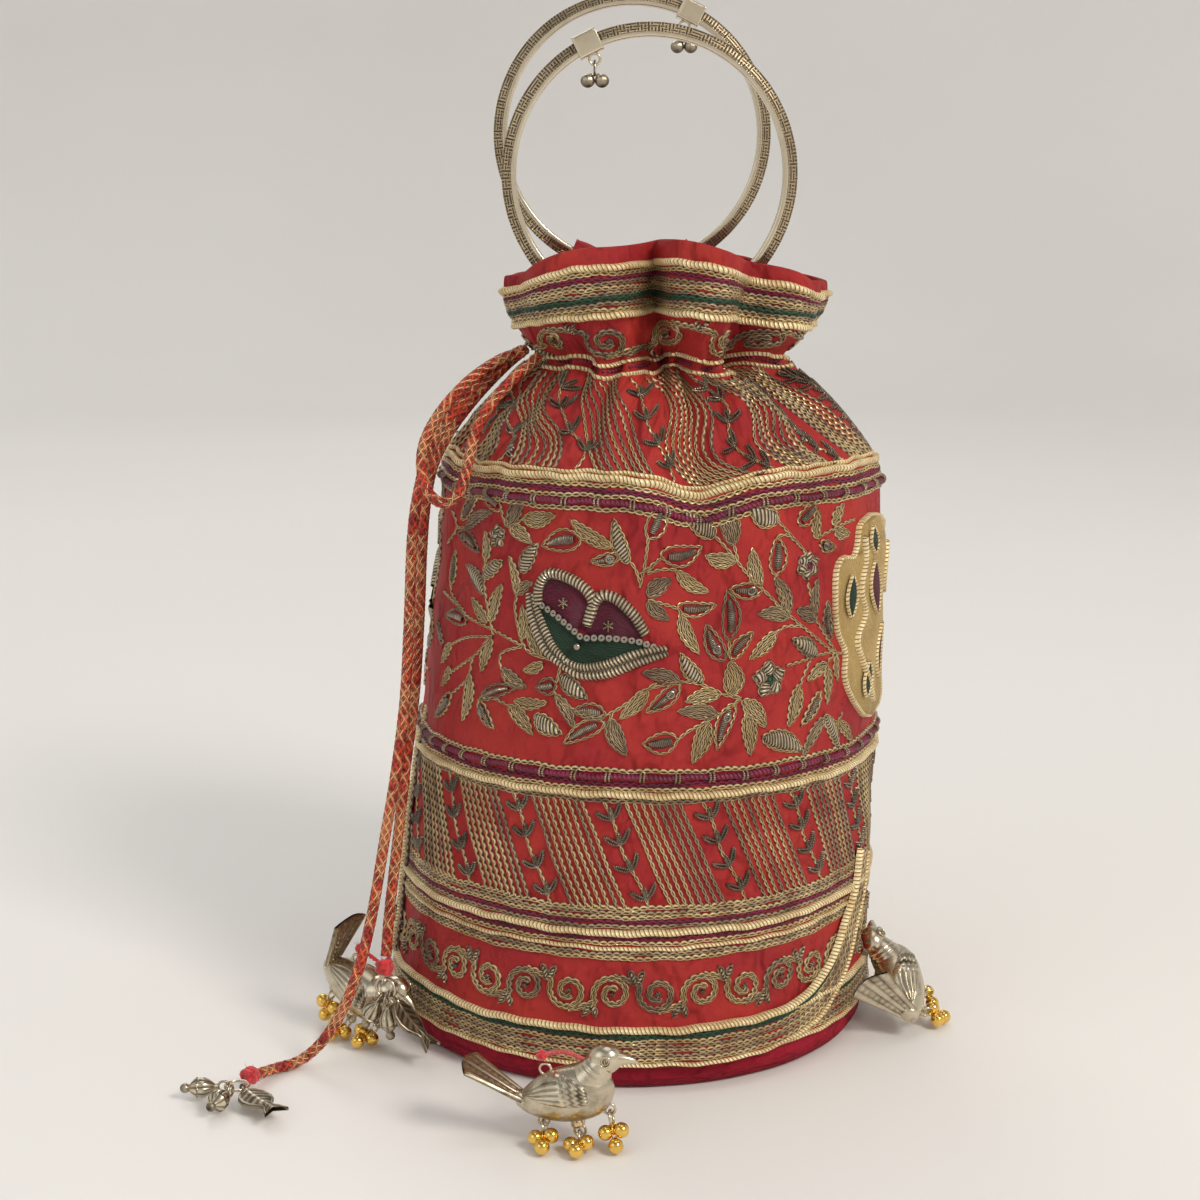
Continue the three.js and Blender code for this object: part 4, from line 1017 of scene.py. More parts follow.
@dataclass
class ClothBody:
    """Silk wall, foot and lining."""

    palette: Palette
    steps: int = 420
    foot_radius: float = 71.0
    foot_corner: float = 3.0
    foot_cloth: float = 1.0
    upstand: float = 20.0
    ease: float = 2.0

    def build(self) -> None:
        """Build and dress the cloth pieces."""
        self.wall()
        self.foot()
        self.lining()

    def wall(self) -> None:
        """Build the wall with its folded hem and rim."""
        turn = np.linspace(-math.pi, math.pi, self.steps, endpoint=False)[:, None]
        outer = np.linspace(WALL.hem, WALL.rim, 132)
        inner = np.linspace(WALL.rim, WALL.hem, 70)
        roll = np.linspace(0, math.pi, 5)[1:-1]
        columns = [WALL.point(turn[:, 0], np.full(self.steps, z)) for z in outer]
        half = WALL.cloth / 2
        for angle in roll:
            place = WALL.point(turn[:, 0], np.full(self.steps, WALL.rim), half * (math.cos(angle) - 1))
            columns.append(place + [0, 0, 0.8 * math.sin(angle)])
        columns += [WALL.point(turn[:, 0], np.full(self.steps, z), -WALL.cloth) for z in inner]
        for angle in roll:
            place = WALL.point(turn[:, 0], np.full(self.steps, WALL.hem), -half * (1 + math.cos(angle)))
            columns.append(place - [0, 0, 0.4 * math.sin(angle)])
        points = np.stack(columns, 1)
        up = np.concatenate([outer, WALL.rim + roll, 2 * WALL.rim - inner, 2 * WALL.rim + roll,
                             [2 * WALL.rim + 5]])
        around = np.linspace(-math.pi, math.pi, self.steps + 1) * FLAT_RADIUS
        uv = np.stack(np.meshgrid(around, up, indexing="ij"), -1)
        draft = MeshDraft()
        draft.grid(points, uv, (True, True))
        draft.make("silk_wall", self.palette.all("silk"), "bag", ["outer_shell"], "silk")

    def foot(self) -> None:
        """Build the plain round foot."""
        corner = np.linspace(-math.pi / 2, 0, 7)
        reach = self.foot_radius - self.foot_corner
        profile = [(0.05, 0.0)] + [(r, 0.0) for r in np.linspace(8, reach - 3, 9)]
        profile += [(reach + self.foot_corner * math.cos(a),
                     self.foot_corner * (1 + math.sin(a))) for a in corner]
        profile += [(self.foot_radius - 0.15 * k, 4.5 + 2.6 * k) for k in range(6)] + [(69.6, self.upstand)]
        profile += [(68.6, self.upstand), (69.6, 8.0), (reach, self.foot_cloth), (0.05, self.foot_cloth)]

        def wobble(angle: np.ndarray, share: np.ndarray) -> np.ndarray:
            """Small unevenness of the stretched cloth."""
            return 1 + 0.003 * np.sin(7 * angle + 1) * share + 0.0022 * np.sin(19 * angle) * share

        draft = MeshDraft()
        round_radius, seen_length = 70, 120.0
        draft.lathe(profile, 192, shape=wobble)
        draft.uvs[-1] = np.stack([draft.uvs[-1][..., 0] * round_radius, draft.uvs[-1][..., 1] * seen_length],
                                 -1)
        draft.points[-1][:, 2] = np.maximum(draft.points[-1][:, 2], 0)
        draft.make("foot_cover", self.palette.all("foot"), "bag", ["foot_tray"], "silk")

    def lining(self) -> None:
        """Build the lining that hangs inside the wall."""
        turn = np.linspace(-math.pi, math.pi, 160, endpoint=False)
        floor = self.foot_cloth + 0.3
        reach = self.foot_radius - self.foot_cloth - self.ease

        def skin(inset: float) -> list:
            """Columns of the lining from its middle up to the neck."""
            columns = []
            for radius, z in ((0.05, floor + inset), (30, floor + inset), (reach - 3, floor + inset),
                              (reach - inset, 8)):
                columns.append(np.stack([radius * np.sin(turn), -radius * np.cos(turn),
                                         np.full_like(turn, z)], -1))
            for z in np.linspace(20, WALL.neck - 9, 44):
                radius = (WALL.mean_radius(z) - WALL.fold_depth(z) - WALL.crease(turn, z) - WALL.cloth
                          - self.ease
                          - inset - 0.4 * np.sin(13 * turn + z * 0.05))
                radius = np.minimum(radius, 66.5 - inset)
                lean = WALL.lean_at(z)
                columns.append(np.stack([lean + radius * np.sin(turn), -radius * np.cos(turn),
                                         WALL.height(turn, np.full_like(turn, z))], -1))
            for radius, z in ((17.7, 192.0), (15.2, 196.0), (15.2, 200.0)):
                columns.append(np.stack([WALL.lean + (radius - inset) * np.sin(turn),
                                         -(radius - inset) * np.cos(turn), np.full_like(turn, z)], -1))
            return columns

        points = np.stack(skin(0.0) + skin(0.8)[::-1], 1)
        draft = MeshDraft()
        up = np.linspace(0, 400, points.shape[1])
        uv = np.stack(np.meshgrid(np.linspace(0, TAU, 161) * 60, up, indexing="ij"), -1)
        draft.grid(points, uv, (True, False))
        draft.make("lining_bag", self.palette.all("lining"), "bag", ["lining"], "lining")


@dataclass
class Needlework:
    """Stitches laid on the wall: rows, leaves, filled patches, discs and flowers."""

    palette: Palette
    chain: float = 1.5
    slots = ("zari", "old_zari", "maroon", "green", "coil", "gold_cord", "maroon_cord", "tie", "sequin",
             "bullion",
             "tissue", "silk")

    def finish(self, draft: MeshDraft, name: str, solids: Sequence = ()) -> None:
        """Turn a draft of stitches into a piece on the bag."""
        draft.make(name, self.palette.all(*self.slots), "bag", solids, "zari")

    def slot(self, name: str) -> int:
        """Number of a material slot by its finish."""
        return self.slots.index(name)

    def row(self, draft: MeshDraft, path: np.ndarray, kind: str, lift: float = 0.0,
            closed: bool = True) -> None:
        """Lay one row of a border.

        Args:
            draft: Mesh that takes the row.
            path: Pairs of turn and height.
            kind: Finish of the row, or "pale" or "couched" for a thick cord.
            lift: Height above the cloth.
            closed: Whether the row goes round the bag.
        """
        sizes = {"gold_cord": (1.25, 0.95), "pale": (2.1, 1.7), "couched": (1.9, 1.5), "green": (1.9, 0.8)}
        width, height = sizes.get(kind, (self.chain, 0.6))
        seed = float(path[0, 1]) * 7.3
        waver = np.sin(path[:, 0] * 9 + seed) + np.sin(path[:, 0] * 23
                                                       + seed * 1.7) + np.sin(path[:, 0] * 41 + seed)
        path = path + np.stack([0 * waver, 0.13 * waver], -1)
        slot = self.slot({"pale": "gold_cord", "couched": "maroon_cord"}.get(kind, kind))
        lay_on_wall(draft, path, width, height, slot, lift=lift, closed=closed)
        if kind == "couched":
            self.ties(draft, path)

    def ties(self, draft: MeshDraft, path: np.ndarray, spacing: float = 9.4) -> None:
        """Pass pairs of wires over a couched cord."""
        run = run_length(WALL.point(path[:, 0], path[:, 1]))
        for at in np.arange(spacing / 2, run[-1], spacing):
            for shift in (-0.5, 0.5):
                turn, z = (np.interp(at + shift, run, path[:, k]) for k in (0, 1))
                across = np.linspace(-1.2, 1.2, 7)
                spot = WALL.point(np.full(7, turn), z + across)
                out = WALL.normal(np.full(7, turn), z + across)
                crown = 1.68 * np.sqrt(np.clip(1 - (across / 1.25) ** 2, 0, 1))
                draft.tube(spot + out * crown[:, None], 0.32, 5, self.slot("tie"))

    def patch(self, draft: MeshDraft, left: np.ndarray, right: np.ndarray, height: float, finish: str,
              across: int = 7, cell: float = 1.1, lift: float = 0.0, waves: float = 0.0) -> None:
        """Fill the space between two lines with a crowned patch of stitches.

        Args:
            draft: Mesh that takes the patch.
            left: Pairs of turn and height along one side.
            right: Pairs along the other side.
            height: Height of the crown.
            finish: Finish of the patch.
            across: Points across it.
            cell: Width of one column of stitches.
            lift: Height of its edges above the cloth, one number or one for each point.
            waves: Height of soft folds in it.
        """
        share = np.linspace(0, 1, across)
        path = left[:, None] * (1 - share)[None, :, None] + right[:, None] * share[None, :, None]
        crown = np.sqrt(np.clip(1 - (2 * share - 1) ** 2, 0, 1))
        base = WALL.point(path[..., 0], path[..., 1])
        lift = np.broadcast_to(np.asarray(lift, float), (len(left),))
        raised = (height * crown - 0.1 * (crown == 0))[None, :] + lift[:, None]
        raised = raised + waves * (np.abs(np.sin(share * 9 + np.arange(len(left))[:, None] * 0.16))
                                   - 0.4) * crown
        points = base + WALL.normal(path[..., 0], path[..., 1]) * raised[..., None]
        along = run_length(base[:, across // 2])[:, None] * (0.6 if finish == "bullion" else 1.0)
        wide = np.concatenate([np.zeros((len(left), 1)),
                               np.cumsum(np.linalg.norm(np.diff(base, axis=1), axis=-1), 1)], 1)
        draft.grid(points, np.stack(np.broadcast_arrays(along, wide * 2 / cell), -1), slot=self.slot(finish))

    def leaf(self, draft: MeshDraft, base: tuple, tip: tuple, half: float, kind: str,
             thread: str = "zari") -> None:
        """Work one leaf.

        Args:
            draft: Mesh that takes the leaf.
            base: Turn and height of its stalk end.
            tip: Turn and height of its point.
            half: Half of its width, in millimetres.
            kind: g filled with chain, d with a dark core, c filled with bullion, s with a core and a disc.
            thread: Finish of the outline and of a chain filling.
        """
        radius = float(WALL.mean_radius((base[1] + tip[1]) / 2))
        reach = np.array([(tip[0] - base[0]) * radius, tip[1] - base[1]])
        length = float(np.hypot(*reach))
        ahead = reach / length
        reach, half = reach * 1.05, half * 1.3
        side = np.array([-ahead[1], ahead[0]])
        share = np.linspace(0, 1, 13)
        bow = 0.06 * length * np.sin(math.pi * share) * (1 if int(base[1] * 10) % 2 else -1)
        middle = share[:, None] * reach + bow[:, None] * side
        swell = half * np.clip(np.sin(math.pi * share ** 0.78), 0, 1) ** 0.85

        def edge(scale: float) -> np.ndarray:
            """One side of the leaf at a share of its width."""
            return chart(base[0], base[1], middle + side * (swell * scale)[:, None])

        rim = np.vstack([edge(0.92), edge(-0.92)[-2:0:-1], edge(0.92)[:1]])
        if kind == "g":
            self.patch(draft, edge(-0.8), edge(0.8), 0.42, thread, 7, 1.0)
        elif kind == "c":
            self.patch(draft, edge(-0.82), edge(0.82), 1.0, "bullion", 7, 1.0)
        elif half > 0.8:
            core = chart(base[0], base[1], middle[2:11])
            lay_on_wall(draft, core, swell[2:11] * 0.95, 0.95, self.slot("coil"), columns=1)
        if half > 0.8:
            lay_on_wall(draft, rim, 0.85, 0.55, self.slot(thread))
        if kind == "s":
            place = chart(base[0], base[1], middle[4:5])[0]
            self.disc(draft, place[0], place[1], 1.2)

    def sprig(self, draft: MeshDraft, place: tuple, heading: float, size: float) -> None:
        """Work three small loops of coiled wire at a node of a stem."""
        for turn, length in ((0.72, 4.8), (-0.72, 5.0), (-0.1, 3.2)):
            share = np.linspace(-math.pi, math.pi, 13)
            along = (1 + np.cos(share)) / 2 * length * size
            swell = 0.7 + 0.3 * np.cos(share / 2)
            across = np.sin(share) * 0.5 * size * swell - 0.09 * turn * along * (along - 2.0)
            angle = heading + turn * 1.35
            points = np.stack([along * math.cos(angle) - across * math.sin(angle),
                               along * math.sin(angle) + across * math.cos(angle)], -1)
            lay_on_wall(draft, chart(place[0], place[1], points), 0.8 * size, 0.95, self.slot("coil"))

    def disc(self, draft: MeshDraft, turn: float, z: float, radius: float) -> None:
        """Sew a small dished metal disc with a hole on the wall."""
        angle = np.linspace(0, TAU, 12, endpoint=False)
        rings = []
        for share, lift in ((0.28, 0.75), (0.6, 0.6), (1.0, 0.95), (0.97, 1.05), (0.6, 0.72), (0.28, 0.82)):
            path = chart(turn, z, np.stack([np.cos(angle), np.sin(angle)], -1) * share * radius)
            rings.append(WALL.point(path[:, 0], path[:, 1]) + WALL.normal(path[:, 0], path[:, 1]) * lift)
        draft.grid(np.stack(rings, 1), None, (True, False), self.slot("sequin"), flip=True)

    def bead(self, draft: MeshDraft, turn: float, z: float, radius: float, finish: str) -> None:
        """Sew a bead on the wall."""
        centre = WALL.point(turn, z) + WALL.normal(turn, z) * (0.5 + radius * 0.7)
        draft.ball(centre, radius, 14, 8, self.slot(finish))

    def flower(self, draft: MeshDraft, turn: float, z: float, radius: float, petals: int,
               centre: str) -> None:
        """Work a flower with petals of bullion and a bead."""
        for k in range(petals):
            angle = TAU * k / petals + 0.4
            ends = np.array([[math.cos(angle), math.sin(angle)]]) * np.array([[0.18], [1.0]]) * radius
            base, tip = chart(turn, z, ends)
            self.leaf(draft, tuple(base), tuple(tip), radius * 0.36, "c", "old_zari")
        self.bead(draft, turn, z, radius * 0.22, centre)


@dataclass
class Embroidery(Needlework):
    """The bands, stripes and scrolls that go round the bag."""

    def build(self) -> None:
        """Build and dress every band."""
        self.rows("hem_and_border_rows", [
            (8.0, "gold_cord"), (9.4, "zari"), (10.7, "old_zari"), (12.0, "zari"), (13.3, "old_zari"),
            (14.6, "zari"),
            (16.1, "green"), (17.8, "pale"), (38.4, "zari"), (39.6, "old_zari"), (41.1, "gold_cord"),
            (42.7, "zari"), (44.0, "maroon"), (45.6, "pale"), (47.4, "old_zari"), (48.7, "maroon"),
            (50.0, "zari"),
            (51.3, "old_zari"), (52.6, "zari")], ["border_gold_cord"])
        self.rows("middle_band", [
            (82.3, "old_zari"), (83.9, "pale"), (85.6, "zari"), (86.9, "maroon"), (88.9, "couched"),
            (90.7, "zari")],
            ["middle_gold_cord", "middle_maroon_cord"])
        self.rows("upper_band", [
            (161.4, "zari"), (163.2, "couched"), (164.9, "zari"), (166.3, "maroon"), (167.6, "zari"),
            (169.3, "pale"),
            (170.9, "gold_cord")], ["upper_gold_cord", "upper_maroon_cord"])
        self.rows("header_rows", [
            (225.4, "pale"), (223.7, "zari"), (222.3, "maroon"), (220.9, "old_zari"), (219.5, "zari"),
            (218.1, "old_zari"), (216.6, "green"), (215.0, "old_zari"), (213.6, "zari"), (212.0, "pale"),
            (198.6, "gold_cord"), (196.8, "maroon_cord"), (195.0, "gold_cord")], ["header_gold_cord"])
        self.stripes("lower_stripes", 52.8, 82.0, 16, math.tan(27 * DEG), 8.2)
        self.stripes("shoulder_stripes", 171.4, 194.0, 14, 0.62, 7.4)
        self.scrolls("border_scrolls", 28.2, 36, 5.7)
        self.scrolls("header_scrolls", 205.0, 15, 4.7)
        self.side_braids()

    def rows(self, name: str, rows: Sequence, solids: Sequence) -> None:
        """Lay rows round the wall and stand for the band's solids."""
        draft = MeshDraft()
        for z, kind in rows:
            self.row(draft, ring_row(z), kind)
        self.finish(draft, name, solids)

    def stripes(self, name: str, low: float, high: float, groups: int, slope: float, node: float) -> None:
        """Lay leaning groups of separate chain rows with a vine between them.

        Args:
            name: Name of the piece.
            low: Lowest height.
            high: Greatest height.
            groups: Groups round the bag.
            slope: Sideways run for each unit of fall.
            node: Distance between the sprigs of a vine.
        """
        draft = MeshDraft()
        source = random.Random(groups)
        z = np.linspace(high, low, 26)
        radius = WALL.mean_radius(z)
        shift = np.concatenate([[0], np.cumsum(-np.diff(z) * slope / np.maximum(radius[1:], 34))])
        size = np.clip(radius / 62, 0.62, 1)
        for k in range(groups):
            sway = 0.09 * np.sin(np.linspace(0, TAU, len(z))) * math.sin(2 * k * TAU / groups
                                                                         + 1) * (low > 100)
            turn = k * TAU / groups - math.pi + 0.12 + shift - shift.mean() + sway
            for column in range(8):
                offset = (column - 3.5) * 2.12 / radius.max()
                wander = 0.12 * np.sin(z * 0.35 + column + k) / radius
                finish = "old_zari" if source.random() < 0.35 else "zari"
                lay_on_wall(draft, np.stack([turn + offset + wander, z], -1), 1.12 * size, 0.62,
                            self.slot(finish))
            self.vine(draft, turn + math.pi / groups, z, float(size.mean()), node)
        self.finish(draft, name)

    def vine(self, draft: MeshDraft, turn: np.ndarray, z: np.ndarray, size: float, node: float) -> None:
        """Lay a stem with sprigs of coiled wire that point up it."""
        radius = WALL.mean_radius(z)
        path = np.stack([turn + np.sin(np.linspace(0, 3 * math.pi, len(z))) * 0.5 / radius, z], -1)
        lay_on_wall(draft, path, 1.05 * size, 0.55, self.slot("zari"))
        flat = np.stack([path[:, 0] * radius, z], -1)
        run = run_length(flat)
        for at in np.arange(node * 0.55, run[-1] - 1.0, node * size):
            k = min(int(np.searchsorted(run, at)), len(run) - 2)
            up = math.atan2(flat[k, 1] - flat[k + 1, 1], flat[k, 0] - flat[k + 1, 0])
            self.sprig(draft, (path[k, 0], path[k, 1]), up, size)

    def scrolls(self, name: str, z: float, count: int, size: float) -> None:
        """Lay a running line of open spirals that curl up and down by turns."""
        draft = MeshDraft()
        radius = float(WALL.mean_radius(z))
        pitch = TAU * radius / count
        for k in range(count):
            way = 1 if k % 2 else -1
            spin = np.linspace(0, 1, 40)
            angle = math.pi * (1.15 - 2.9 * spin)
            grow = size * (1 - 0.74 * spin ** 0.8)
            curl = np.stack([grow * np.cos(angle), way * grow * np.sin(angle)], -1)
            lead = np.array([[-pitch * 0.98, -way * size * 0.86], [-pitch * 0.72, -way * size * 0.75]])
            path = chart((k + 0.5) * TAU / count - math.pi, z, smooth_path(np.vstack([lead, curl]), 0.8))
            lay_on_wall(draft, path, 0.95, 0.65, self.slot("zari" if k % 3 else "old_zari"), columns=2)
            place = ((k + 0.5) * TAU / count - math.pi, z)
            knot = chart(*place,
                         np.array([[0.2, 0.0], [-0.6, 0.3 * way], [0.4, -0.5 * way], [0.6, 0.4 * way]]))
            lay_on_wall(draft, knot, 0.95, 1.1, self.slot("coil"))
            for share, out in ((0.5, 1.0), (-0.5, -1.0)):
                at = chart(*place, np.array([[share * pitch, way * size * 0.5 * out]]))[0]
                tip = chart(*place, np.array([[share * pitch * 1.3, way * size * 1.15 * out]]))[0]
                self.leaf(draft, tuple(at), tuple(tip), size * 0.11, "c", "old_zari")
        self.finish(draft, name)

    def side_braids(self) -> None:
        """Lay the turned-up end of the hem rows and the braid over the left seam.

        Both routes were projected onto the wall like the places of the floral panel.
        """
        draft = MeshDraft()
        corner = [(2, 12.9), (12, 12.9), (22, 12.9), (32, 13.2), (42, 15), (50, 19), (56, 25.5), (61.5, 34.5),
                  (66, 44),
                  (69, 54)]
        hem = ("pale", "green", "zari", "old_zari", "zari", "old_zari", "zari", "gold_cord")
        self.strip(draft, corner, hem, (4.9, 3.2, 1.7, 0.4, -0.9, -2.2, -3.5, -4.9))
        seam = [(-77, 96), (-77.5, 79), (-75, 58), (-76, 36), (-77, 18)]
        self.strip(draft, seam, ("old_zari", "zari", "gold_cord"), (1.3, 0.0, -1.3))
        self.finish(draft, "side_braids")

    def strip(self, draft: MeshDraft, route: Sequence, kinds: Sequence, offsets: Sequence) -> None:
        """Lay rows side by side along a route, on a backing of silk.

        Args:
            draft: Mesh that takes them.
            route: Places in degrees and millimetres.
            kinds: Finishes of the rows.
            offsets: Distances of the rows to the left of the route.
        """
        base = 70.0
        path = smooth_path(np.asarray(route, float) * [DEG * base, 1], 1.4)
        ahead = unit(np.gradient(path, axis=0))
        side = np.stack([-ahead[:, 1], ahead[:, 0]], -1)
        half = offsets[0] + 0.5
        scale = np.array([1 / base, 1])
        lift = np.minimum(run_length(path) / 14, 1) * 1.25 - 0.5
        self.patch(draft, (path - side * half) * scale, (path + side * half) * scale, 0.25, "silk", 9, 1.0,
                   lift)
        for kind, offset in zip(kinds, offsets):
            self.row(draft, (path + side * offset) * scale, kind, lift + 0.1, False)


@dataclass
class FloralPanel(Needlework):
    """The wide panel of leaves, flowers and appliqué between the bands.

    Places are turns in degrees and heights in millimetres. They were read by eye on the photo, projected onto the
    wall by a separate script and pasted in, and some were moved by hand afterwards. A leaf holds its stalk end, its
    tip and half of its width.
    """

    copies: tuple = ((0.0, 1, -76.0, 57.0), (160.0, 1, -34.0, 27.0), (-120.0, -1, -43.0, 52.0))
    chain_leaves = (
        (-70, 155.5, -88.5, 156, 1.1), (-62.5, 152.5, -49, 157.5, 1.4), (-42, 154.5, -37.5, 162.5, 1.8),
        (-41.5, 154.5, -35, 151, 1.5), (-37.5, 157, -28.5, 159, 1.7), (-49.5, 144, -50.5, 152, 1.4),
        (-77.5, 138.5, -69.5, 148, 1), (-38, 136, -41, 146, 1), (-38, 136.5, -34, 140, 1.1),
        (-45.5, 127.5, -43, 138, 1.6), (-46.5, 127.5, -53.5, 133, 1.4), (-67.5, 130, -82, 128.5, 1.2),
        (-35, 124, -36, 133, 1.2), (-29, 120.5, -33.5, 128, 1.2), (-45, 123, -47.5, 113.5, 1.6),
        (-62.5, 118, -67, 111.5, 1.4), (-61.5, 111.5, -64.5, 105.5, 1.2), (-40.5, 115, -33, 111.5, 1.5),
        (-28.5, 118.5, -33.5, 116, 1.1), (-52, 111.5, -52.5, 98.5, 1.8), (-37, 105.5, -30, 99, 1.6),
        (-35.5, 107, -27, 108, 1.2), (-24.5, 110.5, -19.5, 102, 1.2), (-3, 113.5, -8.5, 105.5, 1.5),
        (-11, 105, -6.5, 95.5, 1.8), (-13.5, 151.5, -23.5, 158, 1.4), (16.5, 154, 13, 166, 1.9),
        (17, 149.5, 10, 153, 1.6), (2, 148, 10, 143, 1.5), (-4.5, 139.5, 0.5, 145, 1.6),
        (-4.5, 138, 0.5, 134, 1.5), (3.5, 136, 8.5, 125, 1.5), (23, 140.5, 21, 151, 1.5),
        (39, 151.5, 39.5, 159, 1.2), (44.5, 154.5, 48.5, 159.5, 1.3), (45, 153, 50.5, 151.5, 1.3),
        (31, 132, 27, 142, 1.5), (31, 131, 23, 133, 1.5), (39, 130.5, 39, 140, 1.1),
        (39.5, 129, 33.5, 132.5, 1.5),
        (27.5, 127.5, 21.5, 121, 1.5), (17.5, 111, 16.5, 120.5, 2.3), (14.5, 112, 6.5, 110.5, 1.6),
        (4.5, 116, -4, 118, 1.5), (44, 116, 38, 112.5, 1.4), (44, 115.5, 45, 105, 1.2),
        (47.5, 118, 48.5, 111, 0.9), (35, 111.5, 32.5, 101, 1.8), (20, 109.5, 26, 101.5, 1.7),
        (21, 105.5, 22.5, 94.5, 1.7), (14, 106, 5, 107.5, 1.6), (11.5, 104.5, 9, 93.5, 2),
        (44, 101, 38, 91.5, 1.4), (49, 98.5, 56.5, 91, 1.2),
    )
    dark_leaves = (
        (-65, 154.5, -56, 162, 1.8), (-45, 159, -52.5, 162, 1.8), (-68.5, 134, -66.5, 144.5, 1.6),
        (-56, 126, -68.5, 125, 1.8), (-68, 116.5, -74, 122, 0.9), (-59, 104.5, -65.5, 96, 1.7),
        (-47, 105.5, -36, 110.5, 1.5), (-24.5, 113.5, -29.5, 112, 1.9), (-12, 106, -19.5, 106.5, 1.8),
        (-12, 104, -21, 97.5, 1.9), (-21, 153, -31, 150.5, 2.5), (-5, 155, -2, 165, 2),
        (-2, 151, 8, 155.5, 2.3),
        (2.5, 138, 12, 138.5, 1.8), (33.5, 156, 38.5, 161, 1.9), (27, 143, 27, 153, 2.1),
        (45, 122.5, 43, 133.5, 1.4), (16, 127, 15, 141, 2), (16.5, 121.5, 21.5, 128, 1.7),
        (42.5, 108.5, 36.5, 100.5, 1.5), (5, 99.5, -2.5, 98.5, 2.4),
    )
    bullion_leaves = (
        (-48.5, 135, -58, 142, 1.6), (-49.5, 139.5, -43.5, 144.5, 1.6), (-37, 142.5, -33, 150.5, 1.8),
        (-29.5, 104, -22.5, 100, 2), (-23.5, 116, -17, 110.5, 1.8), (-9.5, 147.5, -13, 158.5, 1.6),
        (12, 158, 3.5, 164.5, 2.2), (27.5, 157.5, 20.5, 162.5, 2.3), (52, 155, 61.5, 157, 1.6),
        (10, 115.5, 4.5, 124, 1.7), (40, 119, 32.5, 124.5, 1.8), (25.5, 98.5, 37, 93, 2.3),
        (44, 101.5, 50, 90.5, 1.5),
    )
    disc_leaves = (
        (-66, 150.5, -53.5, 146.5, 1.7), (-47.5, 105, -41.5, 98.5, 1.5), (-11.5, 149.5, -18, 147.5, 1.3),
        (23.5, 139.5, 16, 142, 1.8), (40, 150, 45, 148.5, 1.3), (15, 121.5, 10.5, 132.5, 1.9),
        (4.5, 115.5, -2.5, 107.5, 1.8), (18, 109, 14.5, 97, 1.8),
    )
    flowers = ((-45.5, 151.5, 3.0, 5, "sequin"), (36, 144.5, 3.6, 6, "maroon"),
               (26.5, 114.5, 4.8, 5, "green"))
    stems = (
        ((-70, 155.5), (-67, 151.5), (-71.5, 145.5), (-78, 138)), ((-67, 151.5), (-62.5, 152.5)),
        ((-45, 159), (-43.5, 156), (-42, 154.5), (-37.5, 157)),
        ((-49.5, 144), (-50, 141.5), (-49.5, 139.5), (-48, 134.5), (-45.5, 127.5), (-44.5, 124)),
        ((-68.5, 134), (-66.5, 131.5), (-59, 129), (-56, 127.5), (-45, 125.5), (-37.5, 123.5),
         (-34.5, 122.5)),
        ((-72.5, 131), (-59, 129)),
        ((-38, 136), (-38, 132), (-35, 124), (-32, 121), (-27, 120), (-23.5, 119)),
        ((-44.5, 123.5), (-55, 121.5), (-62.5, 118)), ((-46.5, 121.5), (-51.5, 116.5), (-61.5, 109.5)),
        ((-51.5, 116.5), (-52, 111)), ((-52.5, 110), (-59, 104)),
        ((-34.5, 122.5), (-40.5, 120), (-41.5, 117.5), (-40.5, 115), (-37.5, 112.5), (-33, 111.5)),
        ((-47, 105.5), (-42.5, 106.5), (-37, 105.5)),
        ((-24, 118), (-24.5, 113.5), (-24.5, 110.5), (-20, 107), (-12, 106), (-1, 115.5)),
        ((-10.5, 107), (-11, 104.5)),
        ((-21, 153), (-17.5, 153.5), (-13.5, 151.5), (-8.5, 147.5), (-6.5, 143)),
        ((-5, 155.5), (-5.5, 149), (-6.5, 141.5)), ((-1.5, 151), (-6.5, 145)),
        ((12, 158), (15.5, 152.5), (20, 144.5), (25.5, 137.5), (31, 131.5), (45.5, 119.5), (52.5, 117.5)),
        ((16.5, 154), (17.5, 149)), ((-2, 150.5), (-5, 146)), ((2, 148.5), (-1.5, 147.5), (-5, 145.5)),
        ((-4.5, 138.5), (2.5, 137.5), (3.5, 136)), ((27.5, 157.5), (33, 151), (35.5, 148)),
        ((27, 143), (27, 141.5), (31, 132)), ((27, 153.5), (30, 153.5), (33.5, 150.5)),
        ((39, 151.5), (41.5, 152.5), (48.5, 154.5), (53, 155)),
        ((36, 140), (38, 133.5), (39.5, 129), (44.5, 122), (47, 119)),
        ((34.5, 128), (30, 128.5), (27.5, 127)),
        ((16, 127), (16, 123)), ((17.5, 111), (19.5, 110), (18, 109)),
        ((-3.5, 113.5), (4.5, 116), (10, 115), (14.5, 112), (19.5, 110)),
        ((31, 117.5), (34.5, 118), (40, 119), (47, 119)), ((38, 118), (35.5, 111.5)), ((44, 116.5),
         (47, 118.5)),
        ((20, 109.5), (21, 105.5), (22, 99.5)),
        ((18, 108.5), (14, 106), (11.5, 104.5), (7.5, 102), (5, 99.5)),
        ((44, 101), (49, 98.5), (51.5, 100.5)),
    )

    def build(self) -> None:
        """Build and dress the panel."""
        for index, (shift, way, low, high) in enumerate(self.copies):
            draft = MeshDraft()
            self.spray(draft, shift, way, low, high)
            self.finish(draft, f"floral_spray_{index + 1}")
        draft = MeshDraft()
        for shift in (0.0, 160.0, -84.0):
            self.lotus(draft, shift)
        self.finish(draft, "lotus_motifs")
        draft = MeshDraft()
        self.applique(draft)
        self.finish(draft, "gold_applique")

